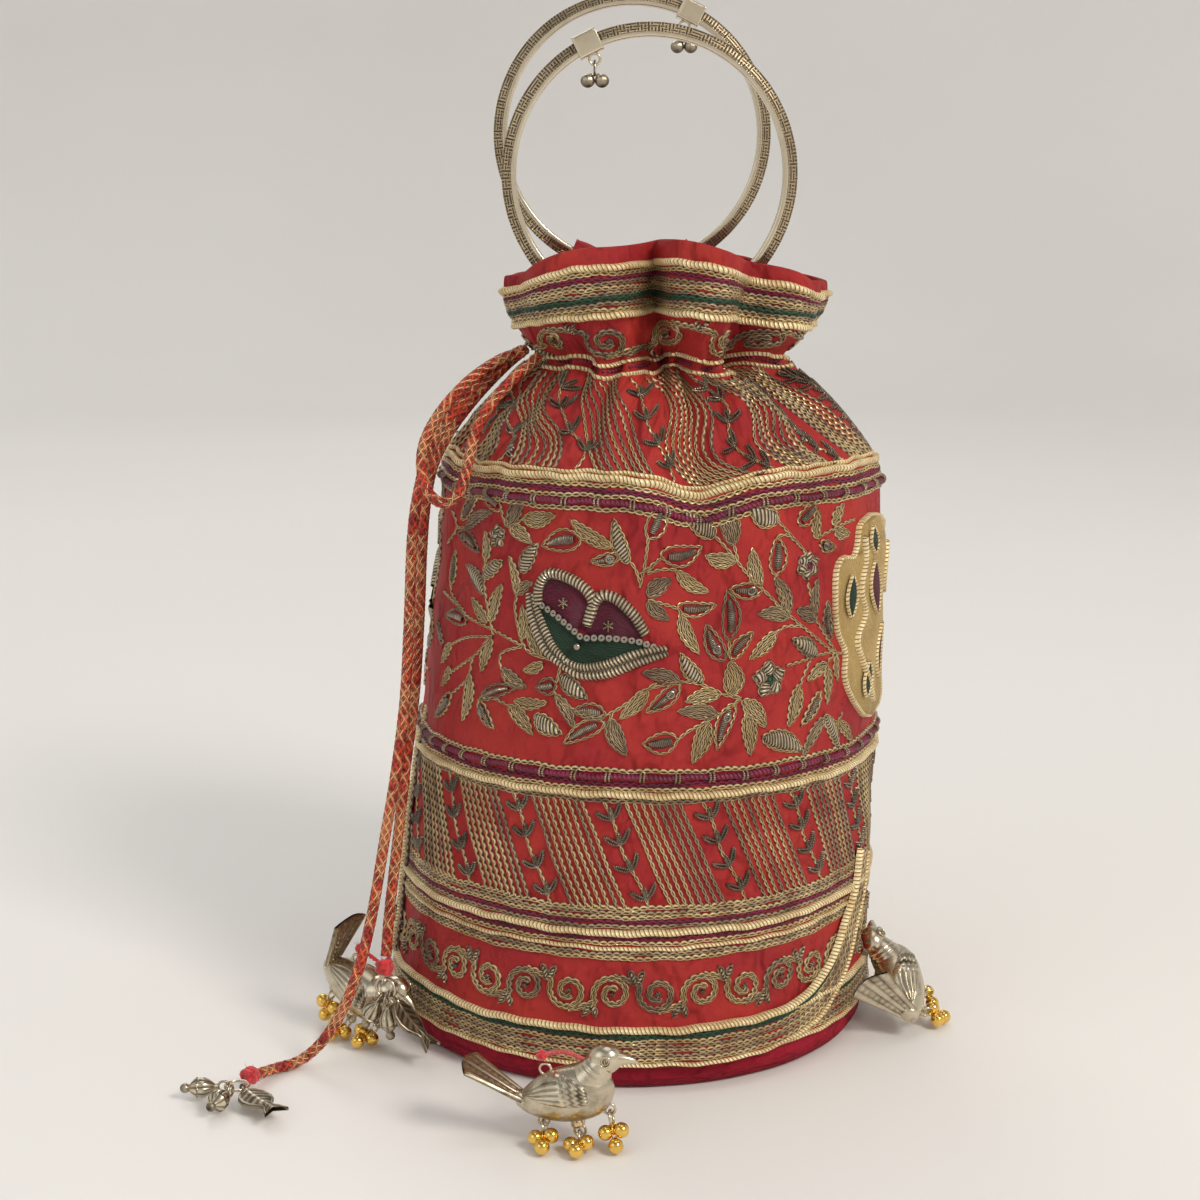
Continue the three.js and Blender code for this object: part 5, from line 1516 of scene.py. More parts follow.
    def spray(self, draft: MeshDraft, shift: float, way: int, low: float, high: float) -> None:
        """Work one copy of the leaves and stems.

        Args:
            draft: Mesh that takes them.
            shift: Turn of the copy's middle, in degrees.
            way: 1, or -1 for a mirrored copy.
            low: Lowest turn that is worked, before it is moved.
            high: Greatest turn.
        """
        def moved(turn: float) -> float:
            """Turn of a place in this copy, in radians."""
            return (turn * way + shift) * DEG

        kinds = (("g", self.chain_leaves), ("d", self.dark_leaves), ("c", self.bullion_leaves),
                 ("s", self.disc_leaves))
        for kind, leaves in kinds:
            for number, (turn, z, tip_turn, tip_z, half) in enumerate(leaves):
                if low <= min(turn, tip_turn) and max(turn, tip_turn) <= high:
                    thread = "old_zari" if (number + int(z)) % 3 == 0 else "zari"
                    self.leaf(draft, (moved(turn), z), (moved(tip_turn), tip_z), half, kind, thread)
        for turn, z, radius, petals, centre in self.flowers:
            if low <= turn <= high:
                self.flower(draft, moved(turn), z, radius, petals, centre)
        for stem in self.stems:
            points = [(turn, z) for turn, z in stem if low <= turn <= high]
            if len(points) > 1:
                route = np.array([(moved(turn) * FLAT_RADIUS, z) for turn, z in points])
                lay_on_wall(draft, smooth_path(route, 1.0) / [FLAT_RADIUS, 1], 0.95, 0.5, self.slot("zari"))

    def lotus(self, draft: MeshDraft, shift: float) -> None:
        """Work the large motif: satin petals and green ground inside a thick bullion rim."""
        def line(points: Sequence, step: float = 0.9) -> np.ndarray:
            """Smooth path through places in degrees and millimetres."""
            route = np.array([((turn + shift) * DEG * FLAT_RADIUS, z) for turn, z in points])
            return smooth_path(route, step) / [FLAT_RADIUS, 1]

        def spread(points: Sequence, count: int = 14) -> np.ndarray:
            """Path with a fixed number of points."""
            path = line(points, 0.4)
            return path[np.linspace(0, len(path) - 1, count).astype(int)]

        fills = (
            ("maroon", ((-31.4, 137), (-29.5, 141.5), (-25.5, 142), (-21.5, 140.2), (-18.2, 136)),
             ((-31, 134), (-27.5, 132.5), (-25, 131), (-21.5, 129), (-18.4, 128))),
            ("maroon", ((-18.3, 130), (-16.8, 135), (-13.8, 137.3), (-10, 135.4), (-5.4, 129.5)),
             ((-18.3, 127.5), (-16, 127), (-13.5, 127), (-10.5, 127), (-5.2, 127.2))),
            ("green", ((-32, 135.5), (-27, 132.2), (-21.5, 128.8), (-18, 127.4), (-13, 127.3), (-5, 127)),
             ((-31.5, 130), (-26, 122.5), (-22.5, 119), (-18, 118), (-12.5, 119.2), (-4.5, 123.8))),
        )
        for finish, first, second in fills:
            self.patch(draft, spread(first), spread(second), 0.5, finish, 9, 0.8)
        rims = (
            ((-31.3, 134.5), (-31.5, 139), (-29.5, 142.8), (-25.8, 142.9), (-21.5, 141.2), (-18.3, 138.5),
             (-17.2, 135), (-18.3, 130)),
            ((-18.3, 130.5), (-17.4, 135), (-15.3, 138.2), (-12.5, 138), (-9.8, 136), (-7, 133),
             (-4.6, 128.8)),
        )
        for rim in rims:
            lay_on_wall(draft, line(rim, 0.6), 3.2, 1.7, self.slot("bullion"), stretch=0.6)
        feathers = (((-33.6, 137.4), (-32.4, 132.5), (-29.8, 127), (-26.8, 122.4), (-22.4, 118.9)),
                    ((-23.6, 119.4), (-18.5, 117.4), (-12.5, 118.6), (-6, 122), (0.8, 124.8)))
        for feather in feathers:
            path = line(feather, 0.6)
            share = np.linspace(0, 1, len(path))
            wide = 5.4 * np.clip(np.sin(math.pi * (0.14 + 0.72 * share)), 0.3, 1) ** 0.6
            lay_on_wall(draft, path, wide / 2, 1.5, self.slot("bullion"), columns=2, stretch=0.6)
            lay_on_wall(draft, path, 0.6, 0.9, self.slot("coil"), lift=0.3)
        chain = line(((-30, 134.3), (-26, 132), (-21.5, 128.6), (-19, 126.8), (-15, 127), (-11, 127),
                      (-6, 126.6),
                      (-2.5, 125.6)), 1.0)
        for turn, z in chain[::2]:
            self.disc(draft, turn, z, 0.95)
        for turn, z in ((-24.5, 135.6), (-13.2, 130.3)):
            for k in range(3):
                angle = 0.6 + k * math.pi / 3
                ends = np.array([[-math.cos(angle), -math.sin(angle)],
                                 [math.cos(angle), math.sin(angle)]]) * 1.5
                lay_on_wall(draft, chart((turn + shift) * DEG, z, ends), 0.5, 0.4, self.slot("tie"), lift=0.6)
        self.bead(draft, (-20 + shift) * DEG, 124.2, 1.1, "sequin")

    def applique(self, draft: MeshDraft) -> None:
        """Lay the padded shapes of gold tissue with twisted edges and small bright insets."""
        for shift, flip in ((0.0, 1), (178.0, -1)):
            def line(points: Sequence, count: int = 40) -> np.ndarray:
                """Path with a fixed number of points."""
                route = np.array([((turn * flip + shift) * DEG * FLAT_RADIUS, z) for turn, z in points])
                path = smooth_path(route, 0.4)
                return path[np.linspace(0, len(path) - 1, count).astype(int)] / [FLAT_RADIUS, 1]

            left = line(((60, 154.5), (55, 153), (54, 148), (52.5, 144.5), (47.5, 145), (45, 141),
                         (45.5, 132),
                         (47.5, 124), (51, 118), (51, 111), (55, 104), (62, 97.5), (68, 95.5)))
            right = line(((62, 154.8), (70, 153.5), (78, 150), (84.5, 146), (88.8, 141), (88.8, 134),
                          (88.8, 127),
                          (88.8, 120), (88.8, 113), (88.8, 107), (85, 101), (78, 97), (69, 95.4)))
            first, second = (left, right) if flip > 0 else (right, left)
            self.patch(draft, first, second, 0.7, "tissue", 33, 0.6, 0.6, 0.7)
            rim = np.vstack([left, right[::-1], left[:1]])
            lay_on_wall(draft, rim, 1.5, 1.5, self.slot("gold_cord"))
            lay_on_wall(draft, line(((56, 150), (57, 143), (55, 135), (58, 128), (55, 121), (58, 114),
                                     (66, 101)), 50),
                        1.6, 1.6, self.slot("gold_cord"), lift=1.2)
            insets = (("green", 50.5, 140, 51, 128, 2.6), ("maroon", 63, 142, 66, 126, 4.2),
                      ("green", 62, 113, 61, 103, 3.0), ("green", 61, 152, 63, 144, 2.8),
                      ("maroon", 73, 122, 71, 106, 3.6), ("green", 77, 145, 77, 130, 3.2))
            for finish, turn, z, tip_turn, tip_z, half in insets:
                ends = [((a * flip + shift) * DEG, b) for a, b in ((turn, z), (tip_turn, tip_z))]
                spine = np.linspace(ends[0], ends[1], 11)
                swell = half * np.sin(math.pi * np.linspace(0.02, 0.98, 11)) / FLAT_RADIUS
                sides = [spine + np.stack([swell * way, 0 * swell], -1) for way in (-1, 1)]
                self.patch(draft, sides[0], sides[1], 0.6, finish, 7, 0.8, 1.6)
                rim = np.vstack([sides[0], sides[1][::-1], sides[0][:1]])
                lay_on_wall(draft, rim, 0.8, 0.8, self.slot("gold_cord"), lift=1.6)


def turned(axis: str, angle: float) -> Matrix:
    """Rotation about an axis by name, in radians."""
    return Matrix.Rotation(angle, 4, axis)


def braid_relief(run: np.ndarray, angle: np.ndarray) -> np.ndarray:
    """Over-and-under strands of a braid as a height on its radius."""
    first = np.cos(4 * angle + run * 2.1)
    second = np.cos(4 * angle - run * 2.1)
    return 0.17 * np.maximum(first, second) - 0.06


@dataclass
class Drawcord:
    """Braided cord in the neck with two free runs, a slack loop and knots."""

    palette: Palette
    diameter: float = 3.0
    knot_radius: float = 2.7
    neck_ring: float = 17.0
    routes: dict = field(default_factory=lambda: {
        "long": [
            (-31.6, -9, 199.5), (-37.5, -13.5, 196.5), (-44.5, -18, 190.5), (-52, -21.5, 181.5),
            (-57.5, -23.5, 172),
            (-60.9, -24.5, 160), (-62.8, -25, 146.5), (-64, -25.5, 124), (-65.4, -28, 101),
            (-67.9, -33.2, 80.5),
            (-70.7, -42.2, 62.5), (-73.4, -48.9, 45.5), (-76.6, -54.6, 31.5), (-81.1, -57.6, 19.5),
            (-87.3, -57.4, 9),
            (-94.3, -56.6, 2.4), (-100.6, -61.4, 2.1), (-104.6, -67.8, 3.3)],
        "short": [
            (-30.8, 2, 199), (-36.5, -1.5, 194.5), (-44.5, -7, 186.5), (-52, -10.5, 177), (-57.2, -12.5, 167),
            (-59.6, -14, 156), (-60.8, -16, 142), (-61.6, -18.5, 124), (-63, -22.5, 102),
            (-65.6, -30.1, 79.2),
            (-67.6, -38.6, 59), (-69.3, -45.4, 42.5), (-70.2, -48.4, 30.5)],
        "slack": [
            (-26.5, -22.5, 198.5), (-31.5, -26.5, 194.5), (-38.5, -31, 187.5), (-43, -35, 180.5),
            (-45.2, -38, 173),
            (-46.6, -40.2, 166.5), (-49.2, -41.2, 161.4), (-53.2, -39.8, 159.8), (-57.2, -36, 162.5),
            (-59.2, -31.8, 169),
            (-58, -28.5, 176.5), (-53.2, -25.5, 184.5), (-46, -22.5, 192), (-37.5, -19, 197.5),
            (-31, -17, 199.5)],
    })
    runs: dict = field(default_factory=dict)

    def build(self) -> None:
        """Build and dress the cord, its knots and its rings."""
        for name, route in self.routes.items():
            path = smooth_path(route, 0.5)
            draft = MeshDraft()
            draft.tube(path, self.diameter / 2, 16, relief=braid_relief)
            self.runs[name] = (draft.make(f"braid_{name}", self.palette.all("braid"), "bag",
                                          [f"drawcord_{name}"], "braid"), path)
        turn = np.linspace(0, TAU, 220, endpoint=False)
        ring = np.stack([WALL.lean + self.neck_ring * np.cos(turn), self.neck_ring * np.sin(turn),
                         np.full_like(turn, WALL.neck)], -1)
        draft = MeshDraft()
        draft.tube(ring, self.diameter / 2, 14, relief=braid_relief, closed=True)
        draft.make("braid_neck", self.palette.all("braid"), "bag", ["drawcord_neck"], "braid")
        self.knots = {name: self.knot(name) for name in ("long", "short")}

    def knot(self, name: str) -> bpy.types.Object:
        """Build the tight bound knot at the end of a run."""
        route = np.asarray(self.routes[name], float)
        centre = self.knot_centre(name)
        along = unit(route[-1] - route[-2])
        draft = MeshDraft()
        source = random.Random(3)
        turn = np.linspace(0, TAU, 22, endpoint=False)
        up = np.array(Vector(along).to_track_quat("Z", "Y").to_matrix())
        for k in range(5):
            lean = Euler((0.5 * math.sin(k * 2.3), 0.5 * math.cos(k * 1.7), k)).to_matrix()
            ring = np.stack([np.cos(turn) * 1.75, np.sin(turn) * 1.75,
                             (k - 2) * 0.62 + 0.25 * np.sin(turn * 2 + k)], -1)
            draft.tube(ring @ np.array(lean).T @ up.T + centre, 0.82, 8, closed=True)
        draft.ball(centre, 1.9, 12, 8)
        for _ in range(46):
            way = unit(np.array([source.gauss(0, 1) for _ in range(3)]))
            bend = np.array([source.gauss(0, 0.5) for _ in range(3)])
            start = centre + way * 1.7
            tip = centre + way * source.uniform(2.6, 3.5) + bend
            draft.tube(np.stack([start, (start + tip) / 2 + bend * 0.3, tip]), np.array([0.09, 0.07, 0.03]),
                       3)
        return draft.make(f"bound_knot_{name}", self.palette.all("thread"), "bag", [f"end_knot_{name}"],
                          "thread")

    def knot_centre(self, name: str) -> np.ndarray:
        """Centre of the knot beyond the end of a run."""
        route = np.asarray(self.routes[name], float)
        return route[-1] + unit(route[-1] - route[-2]) * (self.knot_radius + 0.3)

    def declare(self, charms: dict) -> None:
        """Log the length of each run of the cord.

        Args:
            charms: Not used.
        """
        for name, (piece, path) in self.runs.items():
            log.info("cord %s: %.1f mm", name, run_length(path)[-1])


@dataclass
class Charms:
    """Rings, fluted buds and embossed plaques on the ends of the drawcord."""

    palette: Palette
    cord: Drawcord
    ring: float = 3.2
    wire: float = 0.45
    eyelet: float = 1.5
    sink: float = 0.4
    bud_length: float = 8.0
    bud_radius: float = 2.7
    plaque_length: float = 17.0
    plaque_width: float = 9.0
    hung: dict = field(default_factory=lambda: {
        "long": dict(heading=-23.5, tilt=-90, buds=(4, -60), plaque=62, edge=0),
        "short": dict(heading=-28, tilt=0, buds=(-31, 5), plaque=45, edge=90),
    })

    def build(self) -> dict:
        """Build and dress the charms.

        Returns:
            Pieces on each run by its name.
        """
        return {name: self.cluster(name, **values) for name, values in self.hung.items()}

    def cluster(self, name: str, heading: float, tilt: float, buds: tuple, plaque: float,
                edge: float) -> list:
        """Build the charms under one knot."""
        base = (Matrix.Translation(Vector(self.cord.knot_centre(name))) @ turned("Z", heading * DEG)
                @ turned("X", tilt * DEG))
        drop = self.cord.knot_radius + 0.3 + self.wire + self.ring
        draft = MeshDraft()
        draft.place = base
        draft.ring((0, 0, -drop), self.ring, self.wire, "Y", 30, 8)
        pieces = [draft.make(f"jump_ring_{name}", self.palette.all("plain_silver"), "bag",
                             [f"charm_ring_{name}"],
                             "silver")]

        def hang(angle: float) -> Matrix:
            """Placement of a charm at an angle round the ring."""
            lean = angle * DEG
            spot = Vector((self.ring * math.sin(lean), 0, -drop - self.ring * math.cos(lean)))
            return base @ Matrix.Translation(spot) @ turned("Y", -lean)

        for k, angle in enumerate(buds, 1):
            pieces.append(self.bud(f"{name}_{k}", hang(angle)))
        pieces.append(self.plaque(name, hang(plaque), edge))
        return pieces

    def bud(self, name: str, place: Matrix) -> bpy.types.Object:
        """Build a fluted bud with a ball at its tip."""
        draft = MeshDraft()
        draft.place = place
        draft.ring((0, 0, -self.sink), self.eyelet, 0.38, "X", 22, 8, stretch=1.0)
        top = -self.sink - self.eyelet
        outline = [(0.01, 0.05), (0.25, 0.0), (0.34, -0.05), (0.30, -0.1), (0.5, -0.17), (0.78, -0.3),
                   (0.97, -0.45),
                   (1.0, -0.56), (0.93, -0.66), (1.02, -0.7), (0.95, -0.76), (0.7, -0.86), (0.42, -0.95),
                   (0.3, -1.0),
                   (0.01, -1.02)]
        profile = smooth_path([(r * self.bud_radius, top + z * self.bud_length) for r, z in outline],
                              0.3)[::-1]

        def flute(angle: np.ndarray, share: np.ndarray) -> np.ndarray:
            """Eight petals round the bud."""
            swell = np.sin(math.pi * np.clip(share * 1.1, 0, 1))
            return 1 + 0.12 * swell * (np.abs(np.cos(4 * angle)) ** 0.7 - 0.6)

        def relief(angle: np.ndarray, share: np.ndarray) -> np.ndarray:
            """High on petals and low between them."""
            return np.clip(np.abs(np.cos(4 * angle)) ** 0.6 + 0 * share, 0, 1)

        draft.lathe(profile, 48, shape=flute, relief=relief)
        tip = top - self.bud_length - self.bud_radius * 0.35
        draft.ball((0, 0, tip), self.bud_radius * 0.5, 16, 10)
        draft.ring((0, 0, top - self.bud_length * 0.7), self.bud_radius * 1.0, 0.22, "Z", 36, 6)
        return draft.make(f"fluted_bud_{name}", self.palette.all("silver"), f"bud_{name}",
                          [f"charm_bud_{name}"],
                          "silver")

    def plaque(self, name: str, place: Matrix, edge: float) -> bpy.types.Object:
        """Build an embossed leaf with a forked tip."""
        draft = MeshDraft()
        draft.place = place
        draft.ring((0, 0, -self.sink), self.eyelet, 0.38, "X", 22, 8)
        draft.place = place @ Matrix.Translation(Vector((0, 0, -self.sink - self.eyelet
                                                         + 0.35))) @ turned("Z", edge * DEG)
        along = np.linspace(0, 1, 46)
        across = np.linspace(-1, 1, 25)
        half = self.plaque_width / 2
        wide = half * np.interp(along, [0, .06, .2, .36, .52, .66, .74, .86, 1],
                                [.2, .55, .92, 1, .84, .42, .34, .6, .8])
        s, t = np.meshgrid(along, across, indexing="ij")
        fork = np.where(s > 0.8, (1 - np.abs(t)) * (s - 0.8) / 0.2 * self.plaque_length * 0.12, 0)
        body = np.clip(1 - np.abs(t) ** 2.2, 0, 1)
        vein = 0.5 + 0.5 * np.cos((s * 15 - np.abs(t) * 2.6) * math.pi)
        rim = np.exp(-((np.abs(t) - 0.9) / 0.07) ** 2)
        rib = np.exp(-(t / 0.08) ** 2)
        high = np.clip(0.55 * vein * body + 0.8 * rim + 0.7 * rib, 0, 1)
        x = t * wide[:, None]
        z = -s * self.plaque_length + fork
        curl = 0.5 * np.sin(s * 5) * (1 if edge else 0.4)
        face = 0.42 + 0.5 * body * (1 - 0.5 * s) + 0.28 * high
        front = np.stack([x, -face + curl, z], -1)
        back = np.stack([x, 0.42 + 0 * face + curl, z], -1)
        points = np.concatenate([front, back[:, ::-1]], 1)
        relief = np.concatenate([high, np.full_like(high, 0.7)[:, ::-1]], 1)
        relief = np.concatenate([relief, relief[:, :1]], 1)
        lengths = np.broadcast_to(along[:, None], relief.shape)
        draft.grid(points, np.stack([lengths, relief], -1), (False, True))
        return draft.make(f"embossed_plaque_{name}", self.palette.all("silver"), f"plaque_{name}",
                          [f"charm_plaque_{name}"], "silver")


@dataclass
class Handle:
    """Bangle with its clasp sleeve, bells and cloth loops."""

    palette: Palette
    name: str
    x: float
    y: float
    z: float
    sleeve: float
    outward: int
    radius: float = 39.0
    radial: float = 4.0
    width: float = 4.5
    loop_reach: float = 15.0

    def build(self) -> None:
        """Build and dress the handle."""
        self.bangle()
        self.clasp()
        self.bells()
        for tag, side in (("left", -1), ("right", 1)):
            self.loop(tag, side)

    def bangle(self) -> None:
        """Build the fretted bangle with its plain inner edges."""
        inner, half = self.radius - self.radial / 2, self.width / 2
        outline = np.array([
            (0.0, -half + 0.35), (0.12, -half + 0.1), (0.5, -half), (1.3, -half), (1.55, -half + 0.1),
            (1.7, -half + 0.32), (2.3, -1.55), (3.0, -1.1), (3.6, -0.72), (3.92, -0.45), (4.0, 0),
            (3.92, 0.45),
            (3.6, 0.72), (3.0, 1.1), (2.3, 1.55), (1.7, half - 0.32), (1.55, half - 0.1), (1.3, half),
            (0.5, half), (0.12, half - 0.1), (0.0, half - 0.35)])
        steps = 420
        turn = np.linspace(0, TAU, steps, endpoint=False)
        radius = inner + outline[None, :, 0]
        points = np.stack([radius * np.sin(turn)[:, None],
                           np.broadcast_to(outline[None, :, 1], (steps, len(outline))),
                           radius * np.cos(turn)[:, None]], -1)
        run = run_length(np.vstack([outline, outline[:1]]))
        uv = np.stack(np.meshgrid(np.linspace(0, TAU, steps + 1) * self.radius, run, indexing="ij"), -1)
        draft = MeshDraft()
        draft.place = Matrix.Translation(Vector((self.x, self.y, self.z)))
        draft.grid(points, uv, (True, True), flip=True)
        plain = (run[:-1] < 0.9) | (run[:-1] > run[-2] - 0.9)
        draft.slots[-1] = np.tile(np.where(plain, 1, 0), steps)
        draft.make(f"fretted_bangle_{self.name}", self.palette.all("fret", "plain_silver"),
                   f"{self.name}_handle",
                   [f"bangle_{self.name}"], "silver")

    def lean(self) -> Matrix:
        """Placement of the sleeve's side of the bangle."""
        return Matrix.Translation(Vector((self.x, self.y, self.z))) @ turned("Y", self.sleeve * DEG)

    def clasp(self) -> None:
        """Build the plain box sleeve with its lips and its eyelet."""
        draft = MeshDraft()
        draft.place = self.lean()
        high, wide, long = 3.15, 3.4, 3.5
        corner = np.linspace(0, TAU, 40, endpoint=False)
        square = np.stack([np.sign(np.cos(corner)) * np.abs(np.cos(corner)) ** 0.22 * wide,
                           np.sign(np.sin(corner)) * np.abs(np.sin(corner)) ** 0.22 * high], -1)
        stations = np.concatenate([np.linspace(-long, long, 40)])
        rib = 1 + 0.035 * np.exp(-((np.abs(stations) - long + 0.35) / 0.25) ** 2)
        outer = np.stack([np.broadcast_to(stations[:, None], (40, 40)), square[None, :, 0] * rib[:, None],
                          self.radius + square[None, :, 1] * rib[:, None]], -1)
        inner = np.stack([np.broadcast_to(stations[::-1][:, None], (40, 40)),
                          square[None, :, 0] * 0.8 * np.ones((40, 1)),
                          self.radius + square[None, :, 1] * 0.8 * np.ones((40, 1))], -1)
        high_uv = np.concatenate([np.full(40, 0.9), np.full(41, 0.3)])
        uv = np.stack(np.broadcast_arrays(high_uv[:, None] * 0 + np.linspace(0, 1, 41)[None, :],
                                          high_uv[:, None]), -1)
        draft.grid(np.concatenate([outer, inner]), uv, (True, True))
        eyelet = self.radius - 2 - 0.45 - 0.7 - 1.5 + 0.175
        draft.ring((0, 0, eyelet), 1.5, 0.36, "Y", 22, 8)
        draft.make(f"box_sleeve_{self.name}", self.palette.all("plain_silver"), f"{self.name}_handle",
                   [f"clasp_sleeve_{self.name}"], "silver")

    def bells(self) -> None:
        """Build the fluted bells under the sleeve."""
        lean = self.sleeve * DEG
        eyelet = self.radius - 2 - 0.45 - 0.7 - 1.5 + 0.175
        draft = MeshDraft()
        draft.place = Matrix.Translation(Vector((self.x + eyelet * math.sin(lean), self.y,
                                                 self.z + eyelet * math.cos(lean) - 1.5)))
        draft.ring((0, 0, -0.85), 1.9, 0.36, "X", 22, 8)

        def melon(angle: np.ndarray, share: np.ndarray) -> np.ndarray:
            """Lobes of a melon bead."""
            return 1 + 0.15 * (np.abs(np.cos(4 * angle)) ** 0.6 - 0.6) * np.sin(share * math.pi)

        for side in (-1, 1):
            centre = (side * 1.95, 0, -0.85 - 1.9 - 1.5)
            draft.ball(centre, 1.88, 32, 16, shape=melon)
            draft.ring((side * 1.0, 0, -3.0), 0.55, 0.25, "Y", 12, 6)
        draft.make(f"fluted_bells_{self.name}", self.palette.all("silver"), f"{self.name}_bells",
                   [f"clasp_bells_{self.name}"], "silver")

    def loop(self, tag: str, side: int) -> None:
        """Build one cloth loop that holds the bangle."""
        seat = 0.7 + math.hypot(self.radial, self.width) / 2
        angle = math.asin(self.loop_reach / self.radius) * side
        centre = Vector((self.x + self.radius * math.sin(angle), self.y,
                         self.z - self.radius * math.cos(angle)))
        draft = MeshDraft()
        draft.place = Matrix.Translation(centre) @ turned("Y", -angle)
        turn = np.linspace(0, TAU, 56, endpoint=False)
        across = np.linspace(-3.5, 3.5, 9)
        wave = 0.12 * np.sin(5 * turn[:, None] + across[None, :])
        skins = []
        for out in (seat, seat + 1.0):
            size = out + wave + 0.12 * np.abs(across[None, :] / 3.5) ** 3 * (1 if out > seat else -1)
            skins.append(np.stack([np.broadcast_to(across[None, :], size.shape), size * np.cos(turn)[:, None],
                                   size * np.sin(turn)[:, None]], -1))
        points = np.concatenate([skins[1], skins[0][:, ::-1]], 1)
        uv = np.stack(np.meshgrid(np.linspace(0, TAU * seat, 57), np.linspace(0, 16, points.shape[1] + 1),
                                  indexing="ij"), -1)
        draft.grid(points, uv, (True, True))
        reach = self.tab_reach(centre)
        draft.place = Matrix.Translation(centre)
        run = np.linspace(seat + 0.5, reach, 14)
        angle = np.linspace(0, TAU, 20, endpoint=False)
        width = 2.45 * np.sign(np.cos(angle)) * np.abs(np.cos(angle)) ** 0.5
        thick = 0.8 * np.sign(np.sin(angle)) * np.abs(np.sin(angle)) ** 0.8
        sag = -0.5 * np.sin(np.linspace(0, math.pi, 14))
        tab = np.stack([np.broadcast_to(width[None, :], (14, 20)),
                        np.broadcast_to(self.outward * run[:, None], (14, 20)),
                        thick[None, :] + sag[:, None]], -1)
        uv = np.stack(np.meshgrid(run, np.linspace(0, 14, 21), indexing="ij"), -1)
        draft.grid(tab, uv, (False, True), flip=self.outward > 0)
        draft.make(f"cloth_loop_{self.name}_{tag}", self.palette.all("silk"), "bag",
                   [f"bangle_loop_{self.name}_{tag}"], "silk")

    def tab_reach(self, centre: Vector) -> float:
        """Distance from the bangle to the inside of the header."""
        low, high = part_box(f"bangle_loop_{self.name}_" + ("left" if centre.x < self.x else "right"))
        edge = high[1] if self.outward > 0 else low[1]
        return abs(edge / MM - centre.y)


